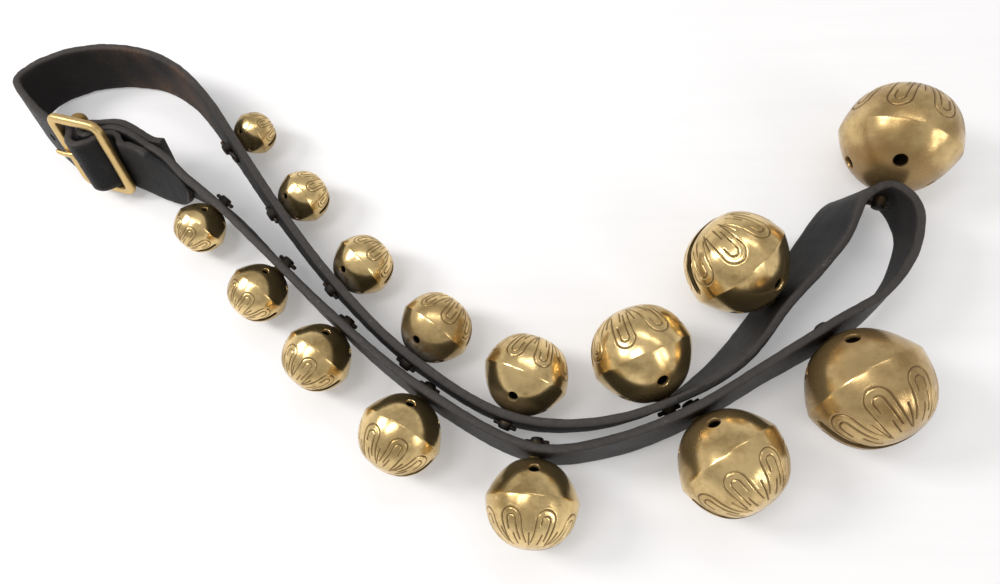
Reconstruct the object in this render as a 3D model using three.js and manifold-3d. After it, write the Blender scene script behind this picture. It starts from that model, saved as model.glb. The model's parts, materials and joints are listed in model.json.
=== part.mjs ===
// Sleigh bell strap: a buckled leather strap standing on its edge, with graduated petal bells.
// Units are millimetres, +Z is up and the table is at z = 0.

import * as THREE from 'three';
import { mergeVertices } from 'three/addons/utils/BufferGeometryUtils.js';
import Module from 'manifold-3d';

const wasm = await Module();
wasm.setup();

// Loop
const LOOP_LENGTH = 612; // of the strap's route along X
const LOOP_DEPTH = 293.2; // of the strap's route along Y

// Strap
const STRAP_WIDTH = 44;
const STRAP_THICKNESS = 5.4;
const TIP_LENGTH = 42; // tapered point of the billet
const TIP_END_WIDTH = 5;
const BILLET_REACH = 74; // point of the billet, from the buckle's middle bar
const BILLET_SPREAD = 10; // degrees that the point leans further than the buckle
const BILLET_DROP = 8; // how far the point sags
const BILLET_LIFT = 5; // how far the point stands off the strap behind it
const TURNED_BACK_LENGTH = 49; // chape end, from the buckle's middle bar
const TURNED_BACK_FLARE = 0.5; // how far its free end springs away from the strap
const LAYER_GAP = 0.4; // between layers of leather, and between leather and bars
const BILLET_HOLE_DIAMETER = 6;
const BILLET_HOLE_PITCH = 26;
const BILLET_HOLES_BEFORE = 3; // spare holes towards the loop
const BILLET_HOLES_AFTER = 1; // spare hole towards the point

// Bells: ridge diameters from the small bell next to the big loop round to the small bell by the buckle,
// drawn for a largest bell of 76 mm
const LARGEST_BELL = 76;
const BELL_DIAMETERS = [31, 37, 42, 48, 54, 64, 68, 76, 75, 66, 56, 53, 46, 41, 36];
const BELL_WALL = 2.4;
const SHANK_HALF_DEPTH = 0.87; // depth of the smooth half, in ridge radii
const MOUTH_HALF_DEPTH = 1.0; // depth of the slotted half, in ridge radii
const SHANK_HALF_SLOPE = 20; // degrees that the smooth half leans in at the ridge
const MOUTH_HALF_SLOPE = 6; // degrees that the slotted half leans in at the ridge
const SLOT_WIDTH = 0.17; // in ridge radii
const SLOT_END = 0.16; // where the slot stops above the ridge, in ridge radii
const SOUND_HOLE_DIAMETER = 0.22; // in ridge radii
const SOUND_HOLES = 4;
const SOUND_HOLE_ANGLE = 49; // degrees from the shank
const SHANK_DIAMETER = 8;
const SHANK_CLEARANCE = 0.35; // round the shank in its hole in the strap
const SEAT_GAP = 0.4; // bell to leather
const PELLET_RADIUS = 0.21; // in ridge radii
const PELLET_GAP = 0.35;

// Keeper pins
const PIN_DIAMETER = 2.8;
const PIN_LENGTH = 15;
const PIN_CLEARANCE = 0.3; // round the pin in the shank's eye
const PIN_GAP = 0.3; // pin to leather
const EYE_WALL = 1.2; // brass beyond the eye

// Buckle: u runs along the strap, w across it and n outwards
const FRAME_LENGTH = 46;
const FRAME_HEIGHT = 66;
const FRAME_BAR = 7;
const FRAME_THICKNESS = 6;
const FRAME_CORNER = 9;
const MIDDLE_BAR_DIAMETER = 6;
const MIDDLE_BAR_SET_BACK = 8; // middle bar behind the end bars
const TONGUE_WIDTH = 5;
const TONGUE_THICKNESS = 3.6;
const TONGUE_RING = 2.2; // wall of the tongue's ring
const TONGUE_CLEARANCE = 0.35;
const TONGUE_OVERHANG = 6; // tip beyond the end bar
const TONGUE_SLOT_CLEARANCE = 1.1; // each side of the tongue in the leather
const BUCKLE_PLACE = new THREE.Vector2(-316.5, 273);
const BUCKLE_HEADING = -20; // degrees from +X
const BUCKLE_LEAN = 18; // degrees that its front looks up
const BUCKLE_PITCH = 6; // degrees that the billet's side is raised
const STRAP_PLAY = 1; // between the strap's lower edge and the frame
const STRAP_DROP = (FRAME_HEIGHT - STRAP_WIDTH) / 2 - FRAME_BAR - STRAP_PLAY; // below the buckle's middle
const STRAP_SETTLE = 0.42; // slope at which the strap comes down between the end bar and the rivets
const BILLET_BULGE = 5; // how far the billet stands off the fold

// Chape rivets
const RIVET_DIAMETER = 4;
const RIVET_HEAD_DIAMETER = 9;
const RIVET_HEAD_HEIGHT = 1;
const RIVET_PLACE = 32; // from the middle bar
const RIVET_SPREAD = STRAP_WIDTH - 20; // between the two
const RIVET_CLEARANCE = 0.3;

// Facets
const BELL_SEGMENTS = 16;
const HOLLOW_SEGMENTS = 10;
const HOLE_SEGMENTS = 6;
const PIN_SEGMENTS = 6;
const STEPS_PER_STATION = 2;

// Route of the strap's middle line on the table, from the buckle round to the billet.
// lean is in degrees that the outer face looks up. A bell's number marks its seat, with the degrees
// that it is turned aside there; elsewhere lift is the height of the lower edge above the table.
const ROUTE = [
  { at: [-262.5, 262.5], lean: 12, lift: 4 },
  { at: [-245, 251], lean: 0, lift: 2.5 },
  { at: [-225, 236.8], lean: -5, bell: 15 },
  { at: [-176.4, 189.1], lean: -1, bell: 14, turn: 4 },
  { at: [-131.6, 145.9], lean: 1, bell: 13, turn: 4 },
  { at: [-75.9, 100.1], lean: 2, bell: 12, turn: 4 },
  { at: [-6.9, 63.3], lean: 2, bell: 11, turn: 6 },
  { at: [42, 68], lean: 4, lift: 4.5 },
  { at: [88.8, 85.4], lean: 5, bell: 10, turn: 7 },
  { at: [130.3, 109.2], lean: 5, lift: 6.5 },
  { at: [172, 132.6], lean: 8, bell: 9, turn: -4 },
  { at: [204.5, 153], lean: 4, lift: 8.5 },
  { at: [226, 181], lean: 2, lift: 9.5 },
  { at: [233, 209], lean: 4, lift: 9.5 },
  { at: [221.3, 228.6], lean: 12, bell: 8 },
  { at: [198.5, 223], lean: 20, lift: 8 },
  { at: [180, 197.5], lean: 30, lift: 7 },
  { at: [145.9, 156.4], lean: 19, bell: 7, turn: -5.5 },
  { at: [111.5, 117.3], lean: 18, lift: 5.5 },
  { at: [72.2, 92.4], lean: 8, bell: 6 },
  { at: [24, 80], lean: 6, lift: 4.5 },
  { at: [-24, 85], lean: 4, bell: 5, turn: -5 },
  { at: [-86.3, 123.7], lean: 1, bell: 4 },
  { at: [-138.5, 174.8], lean: -3, bell: 3 },
  { at: [-183.5, 231.1], lean: -7, bell: 2 },
  { at: [-221.4, 284.9], lean: -10, bell: 1, turn: 5 },
  { at: [-240, 311], lean: -10, lift: 0.4 },
  { at: [-262, 335], lean: -8, lift: 0.4 },
  { at: [-289, 351], lean: -6, lift: 0.4 },
  { at: [-321, 356.5], lean: -5, lift: 0.4 },
  { at: [-351, 352.5], lean: -4, lift: 0.6 },
  { at: [-373, 341], lean: 0, lift: 1.5 },
  { at: [-379, 327], lean: 6, lift: 4 },
  { at: [-369, 311], lean: 12, lift: 5.5 },
];

const UP = new THREE.Vector3(0, 0, 1);

// The route and the buckle's place, stretched to the size of the loop.
function stretched(x, y) {
  const [drawnX, drawnY] = [0, 1].map((axis) => ROUTE.map(({ at }) => at[axis]));
  const length = Math.max(...drawnX) - Math.min(...drawnX);
  const depth = Math.max(...drawnY) - Math.min(...drawnY);
  return [(x * LOOP_LENGTH) / length, (y * LOOP_DEPTH) / depth];
}

const radians = THREE.MathUtils.degToRad;

const brass = new THREE.MeshStandardMaterial({ color: 0xb8954f, roughness: 0.3, metalness: 1 });
const buckleBrass = new THREE.MeshStandardMaterial({ color: 0xc9a765, roughness: 0.35, metalness: 1 });
const leather = new THREE.MeshStandardMaterial({ color: 0x26211f, roughness: 0.65, metalness: 0 });
const iron = new THREE.MeshStandardMaterial({ color: 0x2b2724, roughness: 0.75, metalness: 0.8 });
const copper = new THREE.MeshStandardMaterial({ color: 0x8a5a3c, roughness: 0.5, metalness: 1 });

// Solids

function signedVolume(position, index) {
  const [a, b, c] = [new THREE.Vector3(), new THREE.Vector3(), new THREE.Vector3()];
  let total = 0;
  for (let i = 0; i < index.length; i += 3) {
    a.fromBufferAttribute(position, index[i]);
    b.fromBufferAttribute(position, index[i + 1]);
    c.fromBufferAttribute(position, index[i + 2]);
    total += a.dot(b.cross(c)) / 6;
  }
  return total;
}

// A closed geometry as a solid: shared corners merged, slivers at the poles dropped, faces outwards.
function solidOf(geometry) {
  const bare = geometry.clone();
  bare.deleteAttribute('normal');
  bare.deleteAttribute('uv');
  const merged = mergeVertices(bare, 1e-4);
  const index = [];
  for (let i = 0; i < merged.index.count; i += 3) {
    const [a, b, c] = [0, 1, 2].map((k) => merged.index.getX(i + k));
    if (a !== b && b !== c && c !== a) index.push(a, b, c);
  }
  if (signedVolume(merged.attributes.position, index) < 0) index.reverse();
  const vertProperties = new Float32Array(merged.attributes.position.array);
  return new wasm.Manifold(new wasm.Mesh({ numProp: 3, vertProperties, triVerts: Uint32Array.from(index) }));
}

function geometryOf(solid) {
  const mesh = solid.getMesh();
  const geometry = new THREE.BufferGeometry();
  geometry.setAttribute('position', new THREE.BufferAttribute(mesh.vertProperties, 3));
  geometry.setIndex(new THREE.BufferAttribute(mesh.triVerts, 1));
  geometry.computeVertexNormals();
  return geometry;
}

function placed(geometry, matrix) {
  return solidOf(geometry.clone().applyMatrix4(matrix));
}

function namedMesh(name, geometry, material) {
  const mesh = new THREE.Mesh(geometry, material);
  mesh.name = name;
  return mesh;
}

function extruded(points, depth) {
  const shape = new THREE.Shape(points.map(([x, y]) => new THREE.Vector2(x, y)));
  const geometry = new THREE.ExtrudeGeometry(shape, { depth, bevelEnabled: false, steps: 1 });
  return geometry.translate(0, 0, -depth / 2);
}

// Bell form, turned about +Y: the mouth's pole is up +Y, the ridge is at y = 0, the shank runs down -Y

function domeCurve(radius, depth, slope, side) {
  const shoulder = radius - depth * Math.tan(radians(slope));
  return new THREE.QuadraticBezierCurve(
    new THREE.Vector2(radius, 0),
    new THREE.Vector2(shoulder, side * depth),
    new THREE.Vector2(0, side * depth),
  );
}

function shankHalf(radius, wall) {
  return domeCurve(radius - wall, SHANK_HALF_DEPTH * radius - wall, SHANK_HALF_SLOPE, -1);
}

function mouthHalf(radius, wall) {
  return domeCurve(radius - wall, MOUTH_HALF_DEPTH * radius - wall, MOUTH_HALF_SLOPE, 1);
}

function bellOutline(radius, shankEnd) {
  const shank = SHANK_DIAMETER / 2;
  const smooth = shankHalf(radius, 0).getPoints(3).reverse();
  const mouth = mouthHalf(radius, 0).getPoints(4);
  return [
    new THREE.Vector2(0, shankEnd),
    new THREE.Vector2(shank, shankEnd),
    new THREE.Vector2(shank, smooth[0].y),
    ...smooth.filter((point) => point.x > 1.15 * shank),
    ...mouth.slice(1),
  ];
}

function hollowOutline(radius) {
  const smooth = shankHalf(radius, BELL_WALL).getPoints(2).reverse();
  return [...smooth, ...mouthHalf(radius, BELL_WALL).getPoints(2).slice(1)];
}

// Distance from the bell's middle down to the table when its mouth points up by lean.
function restHeight(radius, lean) {
  const points = [...shankHalf(radius, 0).getPoints(8), ...mouthHalf(radius, 0).getPoints(8)];
  const drops = points.map((point) => point.x * Math.cos(lean) - point.y * Math.sin(lean));
  return Math.max(...drops);
}

const bellScale = LARGEST_BELL / Math.max(...BELL_DIAMETERS);
const bellRadius = (number) => (BELL_DIAMETERS[number - 1] * bellScale) / 2;
const seatDistance = (number) => SHANK_HALF_DEPTH * bellRadius(number) + SEAT_GAP + STRAP_THICKNESS / 2;

// Route stations in space

// Middle of the strap above the table when its lower edge stands at the given lift.
function standingHeight(lean, lift) {
  return (STRAP_WIDTH * Math.cos(lean) + STRAP_THICKNESS * Math.abs(Math.sin(lean))) / 2 + lift;
}

function routeStation({ at, lean, lift = 0, bell, turn = 0 }) {
  const angle = radians(lean);
  let height = standingHeight(angle, lift);
  if (bell) {
    const hung = restHeight(bellRadius(bell), angle) - seatDistance(bell) * Math.sin(angle);
    height = Math.max(height, hung);
  }
  return { point: new THREE.Vector3(...stretched(...at), height), lean: angle, bell, turn: radians(turn) };
}

// Buckle frame of reference
const heading = radians(BUCKLE_HEADING);
const buckleLean = radians(BUCKLE_LEAN);
const pitch = radians(BUCKLE_PITCH);
const level = new THREE.Vector3(Math.cos(heading), Math.sin(heading), 0);
const sideOut = new THREE.Vector3().crossVectors(level, UP);
const upright = UP.clone().multiplyScalar(Math.cos(buckleLean));
upright.addScaledVector(sideOut, -Math.sin(buckleLean));
const buckleU = level.clone().multiplyScalar(Math.cos(pitch)).addScaledVector(upright, Math.sin(pitch));
const buckleW = upright.clone().multiplyScalar(Math.cos(pitch)).addScaledVector(level, -Math.sin(pitch));
const buckleN = new THREE.Vector3().crossVectors(buckleU, buckleW);
const buckleBack = Math.max(FRAME_THICKNESS / 2, MIDDLE_BAR_SET_BACK + MIDDLE_BAR_DIAMETER / 2);
const buckleTilt = (FRAME_LENGTH / 2 - FRAME_CORNER) * Math.abs(buckleU.z);
const buckleHeight = (FRAME_HEIGHT / 2) * buckleW.z + buckleBack * buckleN.z + buckleTilt - 1;
const buckleOrigin = new THREE.Vector3(...stretched(...BUCKLE_PLACE), buckleHeight);

function bucklePoint(u, n, w = 0) {
  const point = buckleOrigin.clone().addScaledVector(buckleU, u);
  return point.addScaledVector(buckleN, n).addScaledVector(buckleW, w);
}

// Layers at the buckle, as [u, n] of each layer's middle, with degrees of extra lean and w where they differ
const layerStep = STRAP_THICKNESS + LAYER_GAP;
const endBar = (FRAME_LENGTH - FRAME_BAR) / 2;
const foldRadius = MIDDLE_BAR_DIAMETER / 2 + LAYER_GAP + STRAP_THICKNESS / 2;
const underBar = -(FRAME_THICKNESS / 2 + LAYER_GAP + STRAP_THICKNESS / 2);
const overFold = -MIDDLE_BAR_SET_BACK + foldRadius + layerStep;
const shoulderN = (overFold + underBar) / 2;
const bulgeN = overFold + BILLET_BULGE;
const headRoom = RIVET_HEAD_HEIGHT + 2 * LAYER_GAP;
const billetN = underBar - 0.3;
const mainN = billetN - STRAP_THICKNESS - headRoom;
const turnedBackN = mainN - layerStep;
const afterRivets = RIVET_PLACE + RIVET_HEAD_DIAMETER / 2 + 1;

const barInside = endBar - FRAME_BAR / 2;
const barOutside = endBar + FRAME_BAR / 2;

const billetLayer = [
  [-barOutside - 8, billetN - 0.5],
  [-barOutside, billetN],
  [-barInside, billetN - 0.5],
  [-0.5 * barInside, (bulgeN + billetN) / 2],
  [0, bulgeN],
  [0.46 * barInside, (bulgeN + billetN) / 2],
  [barInside, billetN - 1],
  [barOutside, billetN],
  [afterRivets, billetN - 0.2],
  [(afterRivets + BILLET_REACH) / 2, billetN + 0.3 * BILLET_LIFT, BILLET_SPREAD / 2, -0.4 * BILLET_DROP],
  [BILLET_REACH, billetN + BILLET_LIFT, BILLET_SPREAD, -BILLET_DROP],
];

const mainLayer = [
  [barInside / 2, shoulderN - 1.4 * layerStep],
  [barInside, mainN],
  [afterRivets, mainN],
];

const turnedBackLayer = [
  [TURNED_BACK_LENGTH, turnedBackN - TURNED_BACK_FLARE],
  [afterRivets, turnedBackN],
  [barInside, turnedBackN],
  [barInside / 2, (turnedBackN - MIDDLE_BAR_SET_BACK - foldRadius) / 2 - 0.6],
];

const foldLayer = [-90, -45, 0, 45, 90, 130].map((degrees) => [
  -foldRadius * Math.cos(radians(degrees)),
  -MIDDLE_BAR_SET_BACK + foldRadius * Math.sin(radians(degrees)),
]);

// How far the strap sits below the middle of the buckle.
function layerDrop(u) {
  return STRAP_DROP + STRAP_SETTLE * Math.max(0, Math.min(u, afterRivets) - barInside);
}

function layerStations(layer) {
  return layer.map(([u, n, spread = 0, w = 0]) => {
    const turn = radians(spread);
    const across = buckleW.clone().multiplyScalar(Math.cos(turn)).addScaledVector(buckleN, -Math.sin(turn));
    return { point: bucklePoint(u, n, w - layerDrop(u)), across };
  });
}

const stations = [
  ...layerStations(turnedBackLayer),
  ...layerStations(foldLayer),
  ...layerStations(mainLayer),
  ...ROUTE.map(routeStation),
  ...layerStations(billetLayer),
];
const route = new THREE.CatmullRomCurve3(stations.map((station) => station.point), false, 'centripetal');
const lastStation = stations.length - 1;

// Width direction at each station: given at the buckle, elsewhere square to the route and leaning.
stations.forEach((station, i) => {
  if (station.across) return;
  const along = route.getTangent(i / lastStation);
  const square = UP.clone().addScaledVector(along, -UP.dot(along)).normalize();
  const outward = new THREE.Vector3().crossVectors(along, square);
  square.multiplyScalar(Math.cos(station.lean));
  station.across = square.addScaledVector(outward, -Math.sin(station.lean));
});

// Place on the strap at t stations: along the route, across the strap and out of its outer face.
function strapFrame(t) {
  const i = Math.min(Math.floor(t), lastStation - 1);
  const point = route.getPoint(t / lastStation);
  const along = route.getTangent(t / lastStation);
  const across = stations[i].across.clone().lerp(stations[i + 1].across, t - i);
  across.addScaledVector(along, -across.dot(along)).normalize();
  const out = new THREE.Vector3().crossVectors(along, across);
  return { point, along, across, out };
}

const samples = [];
for (let k = 0; k <= lastStation * STEPS_PER_STATION; k += 1) {
  const frame = strapFrame(k / STEPS_PER_STATION);
  const previous = samples[k - 1];
  frame.length = previous ? previous.length + frame.point.distanceTo(previous.point) : 0;
  samples.push(frame);
}
const strapLength = samples[samples.length - 1].length;

// Place on the strap at a distance from the billet's point.
function frameFromTip(distance) {
  const target = strapLength - distance;
  const k = samples.findIndex((frame) => frame.length >= target);
  const share = (target - samples[k - 1].length) / (samples[k].length - samples[k - 1].length);
  return strapFrame((k - 1 + share) / STEPS_PER_STATION);
}

// Strap

function strapHalfWidth(length) {
  const into = Math.max(0, length - (strapLength - TIP_LENGTH)) / TIP_LENGTH;
  const round = Math.sqrt(1 - into * into);
  return (TIP_END_WIDTH + (STRAP_WIDTH - TIP_END_WIDTH) * round) / 2;
}

function ribbonGeometry() {
  const section = [[1, 1], [1, -1], [0, -1], [-1, -1], [-1, 1], [0, 1]];
  const size = section.length;
  const position = [];
  const index = [];
  samples.forEach(({ point, across, out, length }, k) => {
    const half = strapHalfWidth(length);
    for (const [w, n] of section) {
      const corner = point.clone().addScaledVector(across, w * half);
      position.push(...corner.addScaledVector(out, (n * STRAP_THICKNESS) / 2));
    }
    if (k === 0) return;
    const [from, to] = [size * (k - 1), size * k];
    for (let side = 0; side < size; side += 1) {
      const next = (side + 1) % size;
      index.push(from + side, to + side, to + next, from + side, to + next, from + next);
    }
  });
  const cap = [0, 1, 2, 0, 2, 5, 5, 2, 3, 5, 3, 4];
  const end = size * (samples.length - 1);
  index.push(...cap, ...cap.map((corner) => end + corner).reverse());
  const geometry = new THREE.BufferGeometry();
  geometry.setAttribute('position', new THREE.Float32BufferAttribute(position, 3));
  geometry.setIndex(index);
  return geometry;
}

// Radius of a faceted drill whose flats leave the full round hole.
function drillRadius(diameter, segments) {
  return diameter / 2 / Math.cos(Math.PI / segments);
}

// A punch through the strap, square to its face.
function punch({ point, along, out, across }, diameter) {
  const radius = drillRadius(diameter, HOLE_SEGMENTS);
  const drill = new THREE.CylinderGeometry(radius, radius, 3 * STRAP_THICKNESS, HOLE_SEGMENTS);
  const matrix = new THREE.Matrix4().makeBasis(along.clone().negate(), out, across).setPosition(point);
  return placed(drill, matrix);
}

// Room for the tongue: a slit in the fold, and a long hole in the billet in front of it.
function tongueCuts() {
  const reach = tongueReach();
  const width = TONGUE_WIDTH + 2 * TONGUE_SLOT_CLEARANCE;
  const behind = -MIDDLE_BAR_SET_BACK - foldRadius - STRAP_THICKNESS;
  const between = overFold - layerStep / 2;
  const fold = [
    [-foldRadius - STRAP_THICKNESS, behind],
    [reach + 2, behind - layerStep / 2],
    [reach + 2, (shoulderN - layerStep / 2 + between) / 2 - 0.6],
    [0, between],
    [-foldRadius - STRAP_THICKNESS, between],
  ];
  const front = bulgeN + STRAP_THICKNESS;
  const billet = [[-endBar + FRAME_BAR / 2, underBar - STRAP_THICKNESS], [-3, between], [-3, front],
    [-endBar + FRAME_BAR / 2, front]];
  const turned = new THREE.Matrix4().makeBasis(buckleU, buckleN, buckleW.clone().negate());
  turned.setPosition(buckleOrigin);
  return [fold, billet].map((outline) => placed(extruded(outline, width), turned));
}

// Rivet holes through the strap and its turned-back end.
function rivetCuts() {
  const radius = drillRadius(RIVET_DIAMETER + 2 * RIVET_CLEARANCE, HOLE_SEGMENTS);
  const depth = layerStep + STRAP_THICKNESS + 2 * LAYER_GAP;
  const drill = new THREE.CylinderGeometry(radius, radius, depth, HOLE_SEGMENTS);
  return [-1, 1].map((side) => {
    const matrix = new THREE.Matrix4().makeBasis(buckleU.clone().negate(), buckleN, buckleW);
    return placed(drill, matrix.setPosition(rivetPoint(side)));
  });
}

function rivetHeight(side) {
  return (side * RIVET_SPREAD) / 2 - layerDrop(RIVET_PLACE);
}

function rivetPoint(side) {
  return bucklePoint(RIVET_PLACE, (mainN + turnedBackN) / 2, rivetHeight(side));
}

function strapGeometry(bellFrames) {
  let solid = solidOf(ribbonGeometry());
  const cuts = [...tongueCuts(), ...rivetCuts()];
  for (const frame of bellFrames) cuts.push(punch(frame, SHANK_DIAMETER + 2 * SHANK_CLEARANCE));
  const tongueHole = BILLET_REACH + endBar / 2;
  for (let k = -BILLET_HOLES_AFTER; k <= BILLET_HOLES_BEFORE; k += 1) {
    const spare = k !== 0;
    if (spare) cuts.push(punch(frameFromTip(tongueHole + k * BILLET_HOLE_PITCH), BILLET_HOLE_DIAMETER));
  }
  for (const cut of cuts) solid = solid.subtract(cut);
  return geometryOf(solid);
}

// Bells

function bellGeometry(radius, shankEnd, pinY) {
  let solid = solidOf(new THREE.LatheGeometry(bellOutline(radius, shankEnd), BELL_SEGMENTS));
  const hollow = new THREE.LatheGeometry(hollowOutline(radius), HOLLOW_SEGMENTS);
  const slot = new THREE.BoxGeometry(3 * radius, 2 * radius, SLOT_WIDTH * radius);
  slot.translate(0, (1 + SLOT_END) * radius, 0);
  const hole = (SOUND_HOLE_DIAMETER * radius) / 2;
  const drill = new THREE.CylinderGeometry(hole, hole, radius, HOLE_SEGMENTS).translate(0, -radius, 0);
  const eye = drillRadius(PIN_DIAMETER + 2 * PIN_CLEARANCE, PIN_SEGMENTS);
  const eyeDrill = new THREE.CylinderGeometry(eye, eye, 2 * SHANK_DIAMETER, PIN_SEGMENTS);
  solid = solid.subtract(solidOf(hollow)).subtract(solidOf(slot));
  for (let k = 0; k < SOUND_HOLES; k += 1) {
    const tilt = new THREE.Matrix4().makeRotationX(radians(SOUND_HOLE_ANGLE));
    const turn = new THREE.Matrix4().makeRotationY((2 * Math.PI * k) / SOUND_HOLES);
    solid = solid.subtract(placed(drill, turn.multiply(tilt)));
  }
  const sideways = new THREE.Matrix4().makeRotationZ(Math.PI / 2).setPosition(0, pinY, 0);
  return geometryOf(solid.subtract(placed(eyeDrill, sideways)));
}

// The strap's faces near a seat, as [sideways, height] pairs seen from the seat, on its outer or inner side.
function facesNear(seat, t, side) {
  const first = Math.max(0, (t - 1) * STEPS_PER_STATION);
  const last = Math.min(samples.length - 1, (t + 1) * STEPS_PER_STATION);
  const pairs = [];
  for (let k = first; k < last; k += 1) {
    for (let share = 0; share <= 1; share += 0.1) {
      const out = samples[k].out.clone().lerp(samples[k + 1].out, share);
      const spot = samples[k].point.clone().lerp(samples[k + 1].point, share);
      spot.addScaledVector(out, (side * STRAP_THICKNESS) / 2).sub(seat.point);
      pairs.push([Math.abs(spot.dot(seat.along)), side * spot.dot(seat.out) - STRAP_THICKNESS / 2]);
    }
  }
  return pairs;
}

// How far the inner face comes in behind a seat, within the keeper pin's length.
function innerFaceRise(seat, t) {
  const inReach = facesNear(seat, t, -1).filter(([sideways]) => sideways <= PIN_LENGTH / 2 + 1);
  return Math.max(0, ...inReach.map(([, height]) => height));
}

// How far a bell must stand off a seat where the outer face comes up round its dome.
function domeRise(radius, seat, t) {
  const dome = shankHalf(radius, 0).getPoints(24).reverse();
  const rises = facesNear(seat, t, 1).map(([sideways, height]) => {
    const level = dome.find((point) => point.x >= Math.max(sideways, SHANK_DIAMETER / 2));
    return level ? height - (level.y - dome[0].y) : 0;
  });
  return Math.max(0, ...rises);
}

function bellGroup(number, seat, t) {
  const radius = bellRadius(number);
  const label = String(number).padStart(2, '0');
  const standOff = seatDistance(number) + domeRise(radius, seat, t);
  const innerFace = -standOff - STRAP_THICKNESS / 2;
  const pinY = innerFace - innerFaceRise(seat, t) - PIN_GAP - PIN_DIAMETER / 2;
  const shankEnd = pinY - PIN_DIAMETER / 2 - PIN_CLEARANCE - EYE_WALL;
  const bell = namedMesh(`bell_${label}`, bellGeometry(radius, shankEnd, pinY), brass);

  const pinForm = new THREE.CylinderGeometry(PIN_DIAMETER / 2, PIN_DIAMETER / 2, PIN_LENGTH, PIN_SEGMENTS);
  const pin = namedMesh(`keeper_pin_${label}`, pinForm, iron);
  pin.rotation.z = Math.PI / 2;
  pin.position.y = pinY;

  const ball = PELLET_RADIUS * radius;
  const pellet = namedMesh(`pellet_${label}`, new THREE.SphereGeometry(ball, 6, 5), iron);
  const hollowSide = (radius - BELL_WALL) * Math.cos(Math.PI / HOLLOW_SEGMENTS);
  pellet.position.z = (ball + PELLET_GAP) / Math.cos(radians(SHANK_HALF_SLOPE)) - hollowSide;

  const group = new THREE.Group();
  group.add(bell, pin, pellet);
  const basis = new THREE.Matrix4().makeBasis(seat.along.clone().negate(), seat.out, seat.across);
  group.quaternion.setFromRotationMatrix(basis);
  group.position.copy(seat.point).addScaledVector(seat.out, standOff);
  return group;
}

// Buckle

function roundedRectangle(width, height, corner) {
  const path = new THREE.Shape();
  const [x, y] = [width / 2, height / 2];
  path.moveTo(x, corner - y);
  path.absarc(x - corner, y - corner, corner, 0, Math.PI / 2);
  path.absarc(corner - x, y - corner, corner, Math.PI / 2, Math.PI);
  path.absarc(corner - x, corner - y, corner, Math.PI, 1.5 * Math.PI);
  path.absarc(x - corner, corner - y, corner, 1.5 * Math.PI, 2 * Math.PI);
  return path;
}

function frameGeometry() {
  const outline = roundedRectangle(FRAME_LENGTH, FRAME_HEIGHT, FRAME_CORNER);
  const inside = FRAME_CORNER - FRAME_BAR;
  outline.holes.push(roundedRectangle(FRAME_LENGTH - 2 * FRAME_BAR, FRAME_HEIGHT - 2 * FRAME_BAR, inside));
  const plain = { depth: FRAME_THICKNESS, bevelEnabled: false, curveSegments: 4 };
  const ring = new THREE.ExtrudeGeometry(outline, plain);
  ring.translate(0, 0, -FRAME_THICKNESS / 2);
  const barLength = FRAME_HEIGHT - FRAME_BAR;
  const bar = new THREE.CylinderGeometry(MIDDLE_BAR_DIAMETER / 2, MIDDLE_BAR_DIAMETER / 2, barLength, 12);
  let solid = solidOf(ring).add(solidOf(bar.translate(0, 0, -MIDDLE_BAR_SET_BACK)));
  const depth = MIDDLE_BAR_SET_BACK + MIDDLE_BAR_DIAMETER / 2;
  for (const side of [-1, 1]) {
    const post = new THREE.BoxGeometry(1.4 * MIDDLE_BAR_DIAMETER, FRAME_BAR, depth);
    solid = solid.add(solidOf(post.translate(0, (side * barLength) / 2, -depth / 2)));
  }
  return geometryOf(solid);
}

function tongueReach() {
  return MIDDLE_BAR_DIAMETER / 2 + TONGUE_CLEARANCE + TONGUE_RING;
}

// Tongue in its own [u, n] plane, with the middle bar's axis at the origin.
function tongueGeometry() {
  const reach = tongueReach();
  const over = MIDDLE_BAR_SET_BACK + FRAME_THICKNESS / 2 + TONGUE_CLEARANCE;
  const barInside = endBar - FRAME_BAR / 2;
  const tip = endBar + FRAME_BAR / 2 + TONGUE_OVERHANG;
  const arm = [
    [-0.68 * reach, 0.58 * reach],
    [-barInside + 1.5, over],
    [-tip + TONGUE_OVERHANG, over],
    [-tip, over - 1.2],
    [-tip - 0.6, over + 0.6],
    [-tip + TONGUE_OVERHANG, over + TONGUE_THICKNESS],
    [-barInside + 2.5, over + TONGUE_THICKNESS],
    [-0.2 * reach, 0.97 * reach],
  ];
  const ring = new THREE.Shape().absarc(0, 0, reach, 0, 2 * Math.PI);
  ring.holes.push(new THREE.Path().absarc(0, 0, MIDDLE_BAR_DIAMETER / 2 + TONGUE_CLEARANCE, 0, 2 * Math.PI));
  const plain = { depth: TONGUE_WIDTH, bevelEnabled: false, curveSegments: 7 };
  const ringForm = new THREE.ExtrudeGeometry(ring, plain);
  ringForm.translate(0, 0, -TONGUE_WIDTH / 2);
  const joined = solidOf(ringForm).add(solidOf(extruded(arm, TONGUE_WIDTH)));
  return geometryOf(joined).rotateX(Math.PI / 2);
}

function rivetGeometry() {
  const shaft = RIVET_DIAMETER / 2;
  const head = RIVET_HEAD_DIAMETER / 2;
  const seat = (layerStep + STRAP_THICKNESS + LAYER_GAP) / 2;
  const end = seat + RIVET_HEAD_HEIGHT;
  const outline = [[0, -end], [0.75 * head, -end], [head, -seat], [shaft, -seat], [shaft, seat], [head, seat],
    [0.75 * head, end], [0, end]];
  const form = new THREE.LatheGeometry(outline.map(([x, y]) => new THREE.Vector2(x, y)), HOLE_SEGMENTS);
  return geometryOf(solidOf(form.rotateX(Math.PI / 2)));
}

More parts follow.
